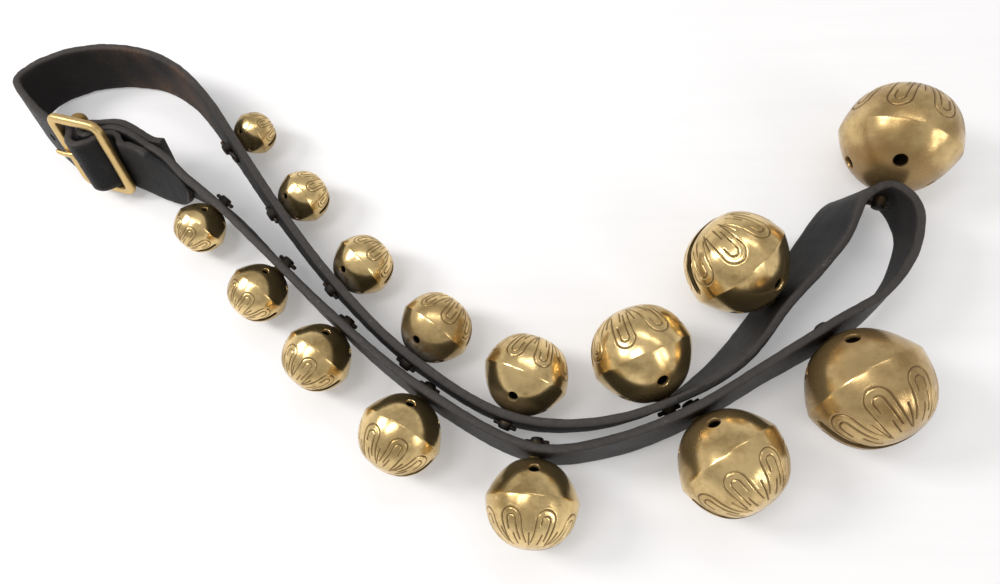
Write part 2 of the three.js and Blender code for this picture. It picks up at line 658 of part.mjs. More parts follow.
function buckleGroup() {
  const group = new THREE.Group();
  group.add(namedMesh('buckle_frame', frameGeometry(), buckleBrass));
  const tongue = namedMesh('buckle_tongue', tongueGeometry(), buckleBrass);
  tongue.position.z = -MIDDLE_BAR_SET_BACK;
  group.add(tongue);
  [-1, 1].forEach((side, k) => {
    const rivet = namedMesh(`chape_rivet_${k + 1}`, rivetGeometry(), copper);
    rivet.position.set(RIVET_PLACE, rivetHeight(side), (mainN + turnedBackN) / 2);
    group.add(rivet);
  });
  const basis = new THREE.Matrix4().makeBasis(buckleU, buckleW, buckleN);
  group.quaternion.setFromRotationMatrix(basis);
  group.position.copy(buckleOrigin);
  return group;
}

// Whole strap, with its origin under the middle of its box

const part = new THREE.Group();
const bellSeats = [];
stations.forEach((station, t) => {
  if (!station.bell) return;
  const seat = strapFrame(t);
  seat.along.applyAxisAngle(seat.across, station.turn);
  seat.out.applyAxisAngle(seat.across, station.turn);
  bellSeats.push(seat);
  part.add(bellGroup(station.bell, seat, t));
});
part.add(namedMesh('strap', strapGeometry(bellSeats), leather));
part.add(buckleGroup());

const box = new THREE.Box3().setFromObject(part, true);
const middle = box.getCenter(new THREE.Vector3());
part.position.set(-middle.x, -middle.y, -box.min.z);

export default part;
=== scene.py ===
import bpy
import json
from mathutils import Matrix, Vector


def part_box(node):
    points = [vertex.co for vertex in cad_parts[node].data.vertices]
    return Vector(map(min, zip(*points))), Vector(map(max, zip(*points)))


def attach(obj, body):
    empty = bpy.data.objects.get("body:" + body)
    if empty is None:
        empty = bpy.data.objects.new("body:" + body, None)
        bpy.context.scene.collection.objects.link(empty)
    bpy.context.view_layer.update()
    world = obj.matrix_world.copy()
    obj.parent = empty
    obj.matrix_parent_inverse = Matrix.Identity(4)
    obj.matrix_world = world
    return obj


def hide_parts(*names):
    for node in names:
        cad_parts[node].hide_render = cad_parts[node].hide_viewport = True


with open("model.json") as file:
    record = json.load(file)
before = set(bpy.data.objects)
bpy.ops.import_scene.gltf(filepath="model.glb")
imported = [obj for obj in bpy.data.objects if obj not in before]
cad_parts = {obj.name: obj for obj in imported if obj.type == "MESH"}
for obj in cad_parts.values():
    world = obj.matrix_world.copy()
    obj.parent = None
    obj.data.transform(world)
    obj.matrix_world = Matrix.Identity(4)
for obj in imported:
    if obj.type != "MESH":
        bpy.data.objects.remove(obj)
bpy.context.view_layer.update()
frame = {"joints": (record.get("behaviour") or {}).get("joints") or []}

import json
import math

import bmesh
import bpy
import numpy as np
from mathutils import Matrix, Vector
from mathutils.kdtree import KDTree

bl_info = {
    "name": "Sleigh bell strap",
    "version": (1, 0, 0),
    "blender": (4, 5, 0),
    "location": "3D View > Sidebar > Bell strap",
    "description": "A buckled leather strap with graduated brass petal bells",
    "category": "Add Mesh",
}

MM = 0.001
SHIFT = np.array((55.929, -184.720, 0.349))  # the route's origin in the part's frame, in mm
UP = np.array((0.0, 0.0, 1.0))
STRAP_WIDTH = 44.0  # in mm
LEATHER = 5.4  # thickness of the strap, in mm

# The strap's middle line on the table in mm: x, y, lean in degrees, lift of the lower edge, bell or 0
ROUTE = (
    (-262.5, 262.5, 12, 4, 0),
    (-245, 251, 0, 2.5, 0),
    (-225, 236.8, -5, 0, 15),
    (-176.4, 189.1, -1, 0, 14),
    (-131.6, 145.9, 1, 0, 13),
    (-75.9, 100.1, 2, 0, 12),
    (-6.9, 63.3, 2, 0, 11),
    (42, 68, 4, 4.5, 0),
    (88.8, 85.4, 5, 0, 10),
    (130.3, 109.2, 5, 6.5, 0),
    (172, 132.6, 8, 0, 9),
    (204.5, 153, 4, 8.5, 0),
    (226, 181, 2, 9.5, 0),
    (233, 209, 4, 9.5, 0),
    (221.3, 228.6, 12, 0, 8),
    (198.5, 223, 20, 8, 0),
    (180, 197.5, 30, 7, 0),
    (145.9, 156.4, 19, 0, 7),
    (111.5, 117.3, 18, 5.5, 0),
    (72.2, 92.4, 8, 0, 6),
    (24, 80, 6, 4.5, 0),
    (-24, 85, 4, 0, 5),
    (-86.3, 123.7, 1, 0, 4),
    (-138.5, 174.8, -3, 0, 3),
    (-183.5, 231.1, -7, 0, 2),
    (-221.4, 284.9, -10, 0, 1),
    (-240, 311, -10, 0.4, 0),
    (-262, 335, -8, 0.4, 0),
    (-289, 351, -6, 0.4, 0),
    (-321, 356.5, -5, 0.4, 0),
    (-351, 352.5, -4, 0.6, 0),
    (-373, 341, 0, 1.5, 0),
    (-379, 327, 6, 4, 0),
    (-369, 311, 12, 5.5, 0),
)
BELL_DIAMETERS = (31, 37, 42, 48, 54, 64, 68, 76, 75, 66, 56, 53, 46, 41, 36)
BROWNING_AND_SHADE = (1, 1, 1, 1, 0.9, 0.8, 0.7, 0.8, 0.5, 0.35, 0.3, 0.35, 0.5, 0.6, 0.8)  # brown tarnish of each bell by the strap, which also stands for painted shade there
TARNISH_AND_SHADE = {4: 0.4, 8: 0.55, 9: 0.66, 10: 0.42, 11: 0.25}  # brown tarnish of some bells all over, which on bells 8 to 10 also stands for painted shade on the less lit right
BLOOM = {1: 0.2, 2: 0.7, 3: 1.0, 4: 0.9, 5: 0.25}  # pale bloom on some bells
JOINTS = {joint["name"]: joint for joint in frame["joints"]}


# Settings that a user would change


def length_setting(name, description, default):
    """A length, with its default in mm."""
    return bpy.props.FloatProperty(name=name, description=description, default=default * MM, unit="LENGTH")


def colour_setting(name, description, default):
    """A colour."""
    return bpy.props.FloatVectorProperty(
        name=name, description=description, default=default, subtype="COLOR", min=0, max=1
    )


class BellStrapSizes(bpy.types.PropertyGroup):
    """Sizes of the strap, the bells and the keeper pins."""

    strap_width: length_setting("Strap width", "Width of the leather", STRAP_WIDTH)
    strap_thickness: length_setting("Strap thickness", "Thickness of the leather", LEATHER)
    strap_edge: length_setting("Edge rounding", "Radius worn onto the strap's edges", 1.6)
    bell_wall: length_setting("Bell wall", "Thickness of the cast brass", 2.4)
    engraving_depth: bpy.props.FloatProperty(
        name="Engraving depth", description="Depth of the petal lines, in ridge radii", default=0.015
    )
    engraving_width: bpy.props.FloatProperty(
        name="Engraving width",
        description="Half width of the petal lines on the largest bell, in ridge radii",
        default=0.0120,
    )
    pin_diameter: length_setting("Pin diameter", "Diameter of the keeper pins", 2.8)
    pin_length: length_setting("Pin length", "Length of the keeper pins", 15)
    seed: bpy.props.IntProperty(
        name="Seed", description="Start of the random wear and dents", default=15
    )


class BellStrapFinish(bpy.types.PropertyGroup):
    """Colours of the metals, the leather and the table."""

    bell_brass: colour_setting("Bell brass", "Polished brass of the bells", (0.81, 0.600, 0.285))
    # Brown brass of tarnish and spots, also used as painted shade by the strap and on the darker bells
    browned_and_shaded_brass: colour_setting(
        "Browned brass", "Brass gone brown beside the leather", (0.262, 0.156, 0.058)
    )
    engraving: colour_setting("Engraving", "Grime in the petal lines", (0.115, 0.062, 0.022))
    verdigris: colour_setting("Verdigris", "Pale blue bloom on a few bells", (0.33, 0.38, 0.41))
    buckle_brass: colour_setting("Buckle brass", "Worn brass of the buckle", (0.62, 0.445, 0.195))
    leather: colour_setting("Leather", "Black face of the strap", (0.0072, 0.0069, 0.0072))
    leather_edge: colour_setting("Worn leather", "Brown wear on the edges", (0.060, 0.053, 0.050))
    leather_rust: colour_setting(
        "Rusty leather", "Brown stain inside the loop by the buckle", (0.122, 0.072, 0.047)
    )
    iron: colour_setting("Iron", "Dark iron of pins and pellets", (0.045, 0.038, 0.034))
    copper: colour_setting("Copper", "Dull copper of the rivets", (0.36, 0.19, 0.11))
    table: colour_setting("Table", "White table top", (0.88, 0.875, 0.885))


# Meshes


def unit(vector):
    """The vectors along the last axis, made one long."""
    return vector / np.maximum(np.linalg.norm(vector, axis=-1, keepdims=True), 1e-12)


def smooth_step(low, high, value):
    """0 below low, 1 above high and smooth between them."""
    t = np.clip((value - low) / (high - low), 0, 1)
    return t * t * (3 - 2 * t)


def lengths(line):
    """Lengths along a line of points, from 0 at its start."""
    return np.concatenate([[0], np.cumsum(np.linalg.norm(np.diff(line, axis=0), axis=1))])


def piece(name, points, faces, finish):
    """A mesh object from points in metres and faces as rows of point numbers."""
    mesh = bpy.data.meshes.new(name)
    mesh.from_pydata([tuple(p) for p in points], [], [tuple(int(k) for k in face) for face in faces])
    mesh.update()
    thing = bpy.data.objects.new(name, mesh)
    bpy.context.scene.collection.objects.link(thing)
    if finish:
        mesh.materials.append(finish)
    return thing


def outwards(thing):
    """Faces turned to look outwards."""
    work = bmesh.new()
    work.from_mesh(thing.data)
    bmesh.ops.recalc_face_normals(work, faces=work.faces)
    work.to_mesh(thing.data)
    work.free()
    return thing


def work_form(points, faces, finish=None):
    """A form that is cut from a piece or joined to it."""
    return outwards(piece("tool", points, faces, finish))


def mesh_points(mesh):
    """The mesh's points as an array."""
    points = np.empty(3 * len(mesh.vertices))
    mesh.vertices.foreach_get("co", points)
    return points.reshape(-1, 3)


def joined(thing, operation, *tools):
    """Cuts or adds the tools, one after the other, and removes them."""
    for tool in tools:
        work = thing.modifiers.new("work", "BOOLEAN")
        work.operation = operation
        work.solver = "MANIFOLD"
        work.object = tool
    bpy.context.view_layer.update()
    made = thing.evaluated_get(bpy.context.evaluated_depsgraph_get())
    mesh = bpy.data.meshes.new_from_object(made)
    thing.modifiers.clear()
    old = thing.data
    thing.data = mesh
    mesh.name = thing.name
    bpy.data.meshes.remove(old)
    for tool in tools:
        bpy.data.meshes.remove(tool.data)


def shaded(thing, crease):
    """Smooth shading, with sharp edges where the faces turn by more than crease degrees."""
    mesh = thing.data
    mesh.polygons.foreach_set("use_smooth", np.ones(len(mesh.polygons), dtype=bool))
    mesh.set_sharp_from_angle(angle=math.radians(crease))
    mesh.update()


def painted(thing, red, green, blue=0, alpha=0):
    """Stores four masks per point as the colour attribute 'wear'."""
    colours = np.empty((len(thing.data.vertices), 4), dtype=np.float32)
    for k, mask in enumerate((red, green, blue, alpha)):
        colours[:, k] = mask
    # The attribute 'wear' holds painted shade and light as well as real wear, stains and engraving
    layer = thing.data.attributes.new("wear", "FLOAT_COLOR", "POINT")
    layer.data.foreach_set("color", colours.ravel())


def dressed(thing, body, slot, *nodes):
    """The piece rides on its body and stands for its CAD nodes, which are hidden; slot is not used."""
    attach(thing, body)
    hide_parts(*nodes)


def placed(points, matrix):
    """Points moved by a 4 x 4 matrix."""
    matrix = np.array(matrix)
    return points @ matrix[:3, :3].T + matrix[:3, 3]


def basis(x, y, z, origin):
    """A 4 x 4 matrix from three axes and an origin."""
    matrix = np.eye(4)
    matrix[:3, 0], matrix[:3, 1], matrix[:3, 2], matrix[:3, 3] = x, y, z, origin
    return matrix


def turned(outline, segments):
    """A closed form turned about Y, from (radius, y) pairs between two ends on the axis."""
    rows = outline[1:-1]
    angle = 2 * np.pi * np.arange(segments) / segments
    points = [(0, outline[0][1], 0)]
    for radius, y in rows:
        points += [(radius * math.sin(a), y, radius * math.cos(a)) for a in angle]
    points.append((0, outline[-1][1], 0))
    faces = []
    for k in range(segments):
        n = (k + 1) % segments
        faces.append((0, 1 + n, 1 + k))
        for j in range(len(rows) - 1):
            low, high = 1 + j * segments, 1 + (j + 1) * segments
            faces.append((low + k, low + n, high + n, high + k))
        top = 1 + (len(rows) - 1) * segments
        faces.append((top + k, top + n, len(points) - 1))
    return np.array(points, dtype=float), faces


def prism(outline, depth):
    """A closed prism from an outline in x, y, run along z to both sides of 0."""
    count = len(outline)
    points = [(x, y, z) for z in (-depth / 2, depth / 2) for x, y in outline]
    faces = [tuple(reversed(range(count))), tuple(range(count, 2 * count))]
    faces += [(k, (k + 1) % count, count + (k + 1) % count, count + k) for k in range(count)]
    return np.array(points, dtype=float), faces


def rod(radius, reach, segments):
    """A closed rod along Y, to both sides of 0."""
    return turned([(0, -reach), (radius, -reach), (radius, reach), (0, reach)], segments)


def tube_faces(rows, size, closed=False):
    """Faces of a tube from rows of size points each, with flat ends unless it closes on itself."""
    faces = []
    for j in range(rows if closed else rows - 1):
        low, high = j * size, ((j + 1) % rows) * size
        for k in range(size):
            n = (k + 1) % size
            faces.append((low + k, low + n, high + n, high + k))
    if not closed:
        faces.append(tuple(reversed(range(size))))
        faces.append(tuple(range((rows - 1) * size, rows * size)))
    return faces


def swept(path, side, front, sections, closed=False):
    """A bar along a path, from sections of (side, front) pairs on two directions, given once or by point."""
    rings = [
        p + np.outer(section[:, 0], s) + np.outer(section[:, 1], f)
        for p, s, f, section in zip(
            path, np.broadcast_to(side, path.shape), np.broadcast_to(front, path.shape), sections
        )
    ]
    return np.concatenate(rings), tube_faces(len(rings), len(sections[0]), closed)


def hoop(middle, radius, section, segments):
    """A closed ring about Y with one section all round."""
    turn = np.linspace(0, 2 * np.pi, segments, endpoint=False)
    side = np.stack([np.cos(turn), np.zeros(segments), np.sin(turn)], axis=1)
    return swept(side * radius + np.array(middle), side, (0, 1, 0), [section] * segments, closed=True)


def round_section(width, height, power, count):
    """A rounded bar's outline: an ellipse at power 2, squarer above it."""
    angle = 2 * np.pi * (np.arange(count) + 0.5) / count
    c, s = np.cos(angle), np.sin(angle)
    x = np.sign(c) * np.abs(c) ** (2 / power) * width / 2
    y = np.sign(s) * np.abs(s) ** (2 / power) * height / 2
    return np.stack([x, y], axis=1)


def lumps(points, scale, seed):
    """Smooth random values of about -1 to 1 over points, with waves about scale long."""
    rng = np.random.default_rng(seed)
    waves = 6
    total = np.zeros(len(points))
    for _ in range(waves):
        direction = unit(rng.normal(size=3)) * 2 * np.pi / scale * rng.uniform(0.6, 1.5)
        total += np.sin(points @ direction + rng.uniform(0, 6.28))
    return total / (waves / 2)


# Materials

BELL_SHADE_AND_GRIME = (0.012, 0.008, 0.004)  # near black inside the bells and on their shanks: painted shade, with some grime on the shanks
DRY_SCUFF = (0.19, 0.186, 0.183)
PRESSED_LEATHER = (0.008, 0.007, 0.0065)  # under the bells
RED_RUST = (0.115, 0.055, 0.028)
TABLE_WHITE = 0.25  # share of plain white in the table as seen


class Wire:
    """An output socket of a shader, with arithmetic that adds Math nodes."""

    def __init__(self, shader, socket):
        self.shader = shader
        self.socket = socket

    def __add__(self, other):
        return self.shader.math("ADD", self, other)

    def __sub__(self, other):
        return self.shader.math("SUBTRACT", self, other)

    def __rsub__(self, other):
        return self.shader.math("SUBTRACT", other, self)

    def __mul__(self, other):
        return self.shader.math("MULTIPLY", self, other)

    __radd__ = __add__
    __rmul__ = __mul__


class Shader:
    """A material or world whose nodes are added by expressions."""

    def __init__(self, owner):
        owner.use_nodes = True
        self.tree = owner.node_tree
        self.tree.nodes.clear()

    def node(self, kind, settings=None, sockets=None, output=0):
        """Adds a node, sets its settings and then the values or links of its sockets."""
        made = self.tree.nodes.new(kind)
        for name, value in (settings or {}).items():
            if name == "stops":
                ramp = made.color_ramp.elements
                while len(ramp) < len(value):
                    ramp.new(0.5)
                for stop, (place, colour) in zip(ramp, value):
                    stop.position = place
                    stop.color = colour
            else:
                setattr(made, name, value)
        for name, value in (sockets or {}).items():
            if isinstance(value, Wire):
                self.tree.links.new(value.socket, made.inputs[name])
            else:
                made.inputs[name].default_value = value
        return Wire(self, made.outputs[output]) if made.outputs else made

    def math(self, operation, first, second):
        """A Math node on two values."""
        return self.node("ShaderNodeMath", {"operation": operation}, {0: first, 1: second})

    def mix(self, first, second, share):
        """A colour between two colours."""
        ends = [end if isinstance(end, Wire) else (*end[:3], 1) for end in (first, second)]
        return self.node(
            "ShaderNodeMix",
            {"data_type": "RGBA", "clamp_factor": True},
            {0: share, 6: ends[0], 7: ends[1]},
            output=2,
        )

    def place(self):
        """Where a point is in its piece at rest, in metres."""
        return self.node("ShaderNodeTexCoord", output="Object")

    def noise(self, scale, detail, roughness, where=None):
        """Smooth random values from 0 to 1."""
        return self.node(
            "ShaderNodeTexNoise",
            {"noise_dimensions": "3D"},
            {"Vector": where or self.place(), "Scale": scale, "Detail": detail, "Roughness": roughness},
        )

    def stretched(self, amounts):
        """Places stretched by three amounts."""
        return self.node(
            "ShaderNodeVectorMath", {"operation": "MULTIPLY"}, {0: self.place(), 1: amounts}
        )

    def step(self, value, low, high):
        """0 below low, 1 above high and smooth between them."""
        return self.node(
            "ShaderNodeMapRange",
            {"interpolation_type": "SMOOTHSTEP"},
            {"Value": value, "From Min": low, "From Max": high, "To Min": 0, "To Max": 1},
        )

    def wear(self):
        """The four painted masks of the mesh."""
        # The attribute 'wear' carries painted shade and light as well as real wear
        paint = self.node("ShaderNodeAttribute", {"attribute_name": "wear"}, output="Color")
        split = self.node("ShaderNodeSeparateColor", None, {"Color": paint})
        outputs = split.socket.node.outputs
        alpha = paint.socket.node.outputs["Alpha"]
        return [Wire(self, outputs[k]) for k in range(3)] + [Wire(self, alpha)]

    def bump(self, height, distance, strength):
        """A normal bent by heights."""
        return self.node(
            "ShaderNodeBump", None, {"Height": height, "Distance": distance, "Strength": strength}
        )

    def surface(self, **sockets):
        """The Principled surface and the output it feeds."""
        named = {name.replace("_", " "): value for name, value in sockets.items()}
        skin = self.node("ShaderNodeBsdfPrincipled", None, named)
        self.node("ShaderNodeOutputMaterial", None, {"Surface": skin})


def material(name, shade):
    """The named material, made once by its own function."""
    found = bpy.data.materials.get(name)
    if found is None:
        found = bpy.data.materials.new(name)
        shade(Shader(found), bpy.context.scene.bell_strap_finish)
    return found


def bell_finish(shader, finish):
    """Polished cast brass, brown near the strap and in the petal lines; the brown by the strap is partly
    tarnish and partly painted shade, and the hollow and shank are painted near black as shade.
    """
    groove, age_and_shade, inside, bloom = shader.wear()
    cloud = shader.noise(38, 4, 0.6)
    mottle = shader.noise(210, 4, 0.65)
    fine = shader.noise(900, 2, 0.5)
    patina = shader.step(cloud * 0.85 + mottle * 0.3, 0.46, 0.78)
    # Brown tarnish mask, which also paints shade by the strap and on bells 8 to 10
    brown = shader.step(age_and_shade * 1.15 + (cloud - 0.5) * 0.7, 0.25, 1.05)
    dull = [c * k for c, k in zip(finish.bell_brass, (0.52, 0.48, 0.40))]
    tone = shader.mix(finish.bell_brass, dull, patina)
    # Brown tarnish with painted shade by the strap and on the darker bells
    tone = shader.mix(tone, finish.browned_and_shaded_brass, brown * 0.85)
    spots = shader.step(shader.noise(420, 2, 0.5), 0.66, 0.76)
    tone = shader.mix(tone, finish.browned_and_shaded_brass, spots * 0.3)
    green = bloom * shader.step(mottle + cloud * 0.5, 0.55, 0.95)
    tone = shader.mix(tone, finish.verdigris, green * 0.8)
    tone = shader.mix(tone, finish.engraving, groove * 0.9)
    # Painted shade: the hollow and the shank near black, with some grime on the shank
    tone = shader.mix(tone, BELL_SHADE_AND_GRIME, inside)
    rough = 0.165 + mottle * 0.04 + patina * 0.07 + brown * 0.08 + groove * 0.2 + green * 0.35 + inside * 0.3
    relief = fine * 0.03 + mottle * 0.14 + cloud
    shader.surface(
        Base_Color=tone,
        Metallic=0.96 - brown * 0.24 - green * 0.5 - inside * 0.4,
        Roughness=rough,
        Normal=shader.bump(relief, 0.0007, 0.2),
    )


def buckle_finish(shader, finish):
    """Worn brass with soft scratches, darker and browner in the low places at the back by the leather, as
    grime and painted shade, and lighter on the front, as wear and painted light.
    """
    low, worn, _, _ = shader.wear()
    cloud = shader.noise(90, 4, 0.6)
    scratch = shader.noise(700, 3, 0.6, shader.stretched((1.0, 1.0, 0.15)))
    dull = [c * k for c, k in zip(finish.buckle_brass, (0.60, 0.52, 0.42))]
    # Darker, browner brass at the back: grime and painted shade
    tone = shader.mix(finish.buckle_brass, dull, shader.step(cloud + low * 0.8, 0.45, 0.95))
    # A lighter copy of the brass on the front: wear and painted light
    tone = shader.mix(tone, [min(1, c * 1.18) for c in finish.buckle_brass], worn * 0.6)
    shader.surface(
        Base_Color=tone,
        Metallic=1.0,
        Roughness=0.30 + scratch * 0.2 + low * 0.12,
        Normal=shader.bump(scratch * 0.35 + cloud, 0.0006, 0.4),
    )


def leather_finish(shader, finish):
    """Old black harness leather, browner at its edges and stained inside the loop."""
    edge, rust, flesh, press = shader.wear()
    cloud = shader.noise(26, 5, 0.62)
    grain = shader.noise(1300, 3, 0.6)
    fibre = shader.noise(420, 5, 0.7)
    pores = shader.node(
        "ShaderNodeTexVoronoi",
        {"feature": "DISTANCE_TO_EDGE"},
        {"Vector": shader.place(), "Scale": 520.0, "Randomness": 1.0},
    )
    cracks = shader.step(pores, 0.0, 0.06)
    dust = shader.step(cloud * 0.7 + fibre * 0.5, 0.56, 0.86)
    grey = [c * 2.2 + 0.003 for c in finish.leather]
    tone = shader.mix(finish.leather, grey, dust)
    tone = shader.mix(tone, finish.leather_edge, edge * (0.35 + fibre * 0.9))
    tone = shader.mix(tone, [c * 0.6 for c in finish.leather_edge], flesh * (0.2 + cloud * 0.4))
    stain = rust * shader.step(cloud * 0.55 + fibre * 0.6, 0.47, 0.66)
    tone = shader.mix(tone, finish.leather_rust, stain)
    scuff = shader.step(shader.noise(160, 6, 0.75), 0.62, 0.70) * (0.18 + edge * 0.8)
    tone = shader.mix(tone, DRY_SCUFF, scuff * 0.5)
    tone = shader.mix(tone, PRESSED_LEATHER, press * 0.8)
    relief = grain * 0.25 + fibre * (0.5 + flesh * 0.7) + cracks * 0.22
    shader.surface(
        Base_Color=tone,
        Roughness=0.38 + fibre * 0.22 + flesh * 0.16 + stain * 0.12 - edge * 0.04,
        Specular_IOR_Level=0.17,
        Normal=shader.bump(relief, 0.0009, 0.55),
    )


def iron_finish(shader, finish):
    """Dark iron with brown rust."""
    rust = shader.step(shader.noise(260, 5, 0.7), 0.42, 0.7)
    pits = shader.noise(900, 4, 0.65)
    shader.surface(
        Base_Color=shader.mix(finish.iron, RED_RUST, rust * 0.7),
        Metallic=0.85 - rust * 0.7,
        Roughness=0.5 + rust * 0.3,
        Normal=shader.bump(pits + rust * 0.5, 0.0006, 0.6),
    )


def copper_finish(shader, finish):
    """Dull copper, darker in random patches."""
    cloud = shader.noise(350, 4, 0.6)
    shader.surface(
        Base_Color=shader.mix(finish.copper, [c * 0.45 for c in finish.copper], shader.step(cloud, 0.4, 0.7)),
        Metallic=1.0,
        Roughness=0.36 + cloud * 0.25,
        Normal=shader.bump(cloud, 0.0004, 0.5),
    )


def table_finish(shader, finish):
    """White painted table top with faint boards, seen near white but keeping its shadows."""
    boards = shader.noise(9, 4, 0.6, shader.stretched((0.35, 7.0, 1.0)))
    tone = shader.mix(finish.table, [c * 0.975 for c in finish.table], shader.step(boards, 0.4, 0.7))
    paint = shader.node(
        "ShaderNodeBsdfPrincipled", None, {"Base Color": tone, "Roughness": 0.55, "Specular IOR Level": 0.25}
    )
    white = shader.node("ShaderNodeEmission", None, {"Color": (1, 1, 1, 1), "Strength": 1.0})
    path = shader.node("ShaderNodeLightPath", output="Is Camera Ray")
    seen = path
    for way in ("Is Glossy Ray", "Is Transmission Ray"):
        seen = seen + Wire(shader, path.socket.node.outputs[way])
    top = shader.node("ShaderNodeMixShader", None, {0: seen * TABLE_WHITE, 1: paint, 2: white})
    shader.node("ShaderNodeOutputMaterial", None, {"Surface": top})


# Bell form in ridge radii: the mouth's pole is up +Y, the ridge lies at y = 0

SHANK_DEPTH = 0.87
SHANK_SLOPE = math.radians(20)
MOUTH_SLOPE = math.radians(6)
MOUTH_START = 0.06  # where the petals' half begins, along the skin from the ridge
SLOT_HALF_WIDTH = 0.085
SLOT_END = 0.16
SOUND_HOLE = 0.108
SOUND_HOLE_ANGLE = math.radians(49)
PELLET_RADIUS = 0.205
BELL_TURNS = 120  # base faces round a bell
SMALL_BELL = 50  # diameter in mm below which the petal lines take fewer faces

# Petal lines, with lengths along the skin from the ridge
PETALS = np.radians((-67.5, -22.5, 22.5, 67.5))  # from the line square to the slot
RAYS = np.radians((-45, 0, 45))
PETAL_RADIUS = 0.205
PETAL_FOOT = 0.25
PETAL_TAPER = 0.32
HOOK_RADIUS = 0.43  # of the line inside a petal, in petal radii
HOOK_RISE = 0.015
HOOK_TAPER = 0.15
HOOK_END = 0.96
VEIN_START, VEIN_END = 0.80, 1.10
RAY_START, RAY_END = 0.72, 1.14
FAR = 9.0  # from any line

# Shank and keeper pin, in metres
SHANK_RADIUS = 4 * MM
PIN_CLEARANCE = 0.3 * MM  # round the pin in the shank's eye
EYE_WALL = 1.2 * MM
EYE_REACH = 8 * MM
PIN_OFF_LEATHER = 0.1 * MM


def dome(depth, slope, side, share, radius=1.0):
    """Points of half a bell's outline as (r, y), at shares from 0 on the ridge to 1 on the pole."""
    share = np.asarray(share, dtype=float)
    shoulder = radius - depth * math.tan(slope)
    r = (1 - share) ** 2 * radius + 2 * share * (1 - share) * shoulder
    y = side * depth * (2 * share * (1 - share) + share**2)
    return np.stack([r, y], axis=-1)


def arc_table(depth, slope):
    """Shares of a half outline, the lengths along it from the ridge and its points."""
    share = np.linspace(0, 1, 400)
    line = dome(depth, slope, 1, share)
    return share, lengths(line), line


MOUTH_SHARE, MOUTH_ARC, MOUTH_LINE = arc_table(1.0, MOUTH_SLOPE)


def hook(across, along, middle, radius, taper, left_end, right_end):
    """Distance to a U: round towards the ridge, with two legs that end at their own places."""
    round_end = np.abs(np.hypot(across, along - middle) - radius)
    end = np.where(across < 0, left_end, right_end)
    reach = np.clip(along, middle, end)
    half = radius * (1 - taper * (reach - middle))
    leg = np.hypot(np.abs(across) - half, along - reach)
    return np.where(along < middle, round_end, leg)


def petal_distance(angle, along, radius, rng):
    """Distance from places on the mouth half to the nearest engraved line, in ridge radii."""
    nearest = np.full(angle.shape, FAR)

    def engrave(middle, line):
        turn = (angle - middle + np.pi) % (2 * np.pi) - np.pi
        near = np.abs(turn) < 0.9
        nearest[near] = np.minimum(nearest[near], line(radius[near] * turn[near], along[near]))

    for side in (0, np.pi):
        for place in PETALS:
            size = PETAL_RADIUS * rng.uniform(0.94, 1.06)
            petal = side + place + rng.normal(0, 0.018)
            centre = PETAL_FOOT + rng.uniform(-0.02, 0.02) + size
            legs = rng.uniform(0.98, 1.10, 2)
            short = rng.uniform(0.58, 0.70)
            ends = (HOOK_END, short) if rng.integers(2) else (short, HOOK_END)
            inner, rise = HOOK_RADIUS * size, centre + HOOK_RISE
            engrave(petal, lambda x, s: hook(x, s, centre, size, PETAL_TAPER, *legs))
            engrave(petal, lambda x, s: hook(x, s, rise, inner, HOOK_TAPER, *ends))
            engrave(petal, lambda x, s: np.hypot(x - 0.01, s - np.clip(s, VEIN_START, VEIN_END)))
        for place in RAYS:
            first = RAY_START + rng.uniform(-0.06, 0.06)
            engrave(side + place, lambda x, s: np.hypot(x, s - np.clip(s, first, RAY_END)))
    return nearest


def line_width(ridge):
    """Half width of a bell's petal lines in ridge radii, bolder on small bells."""
    largest = max(BELL_DIAMETERS) / 2 * MM
    return bpy.context.scene.bell_strap_sizes.engraving_width * math.sqrt(largest / ridge)


def shank_rows(ridge, shank_end):
    """Rows of the bell's outline from the shank's end to the ridge, as (r, y) in ridge radii."""
    shank = SHANK_RADIUS / ridge
    rows = [
        (0.72 * shank, shank_end),
        (0.95 * shank, shank_end + 0.12 * shank),
        (shank, shank_end + 0.4 * shank),
        (shank, -SHANK_DEPTH - 0.25 * shank),
        (1.06 * shank, -SHANK_DEPTH - 0.05 * shank),
    ]
    line = dome(SHANK_DEPTH, SHANK_SLOPE, -1, np.linspace(1, 0, 34))
    line = line[line[:, 0] > 1.3 * shank]
    rows += [tuple(p) for p in line[:-1] if 1 - p[0] > 0.008 or p[1] < -0.03]
    rows.append(tuple(dome(SHANK_DEPTH, SHANK_SLOPE, -1, 0.012)))
    rows.append((0.9985, 0.0))
    return np.array(rows)


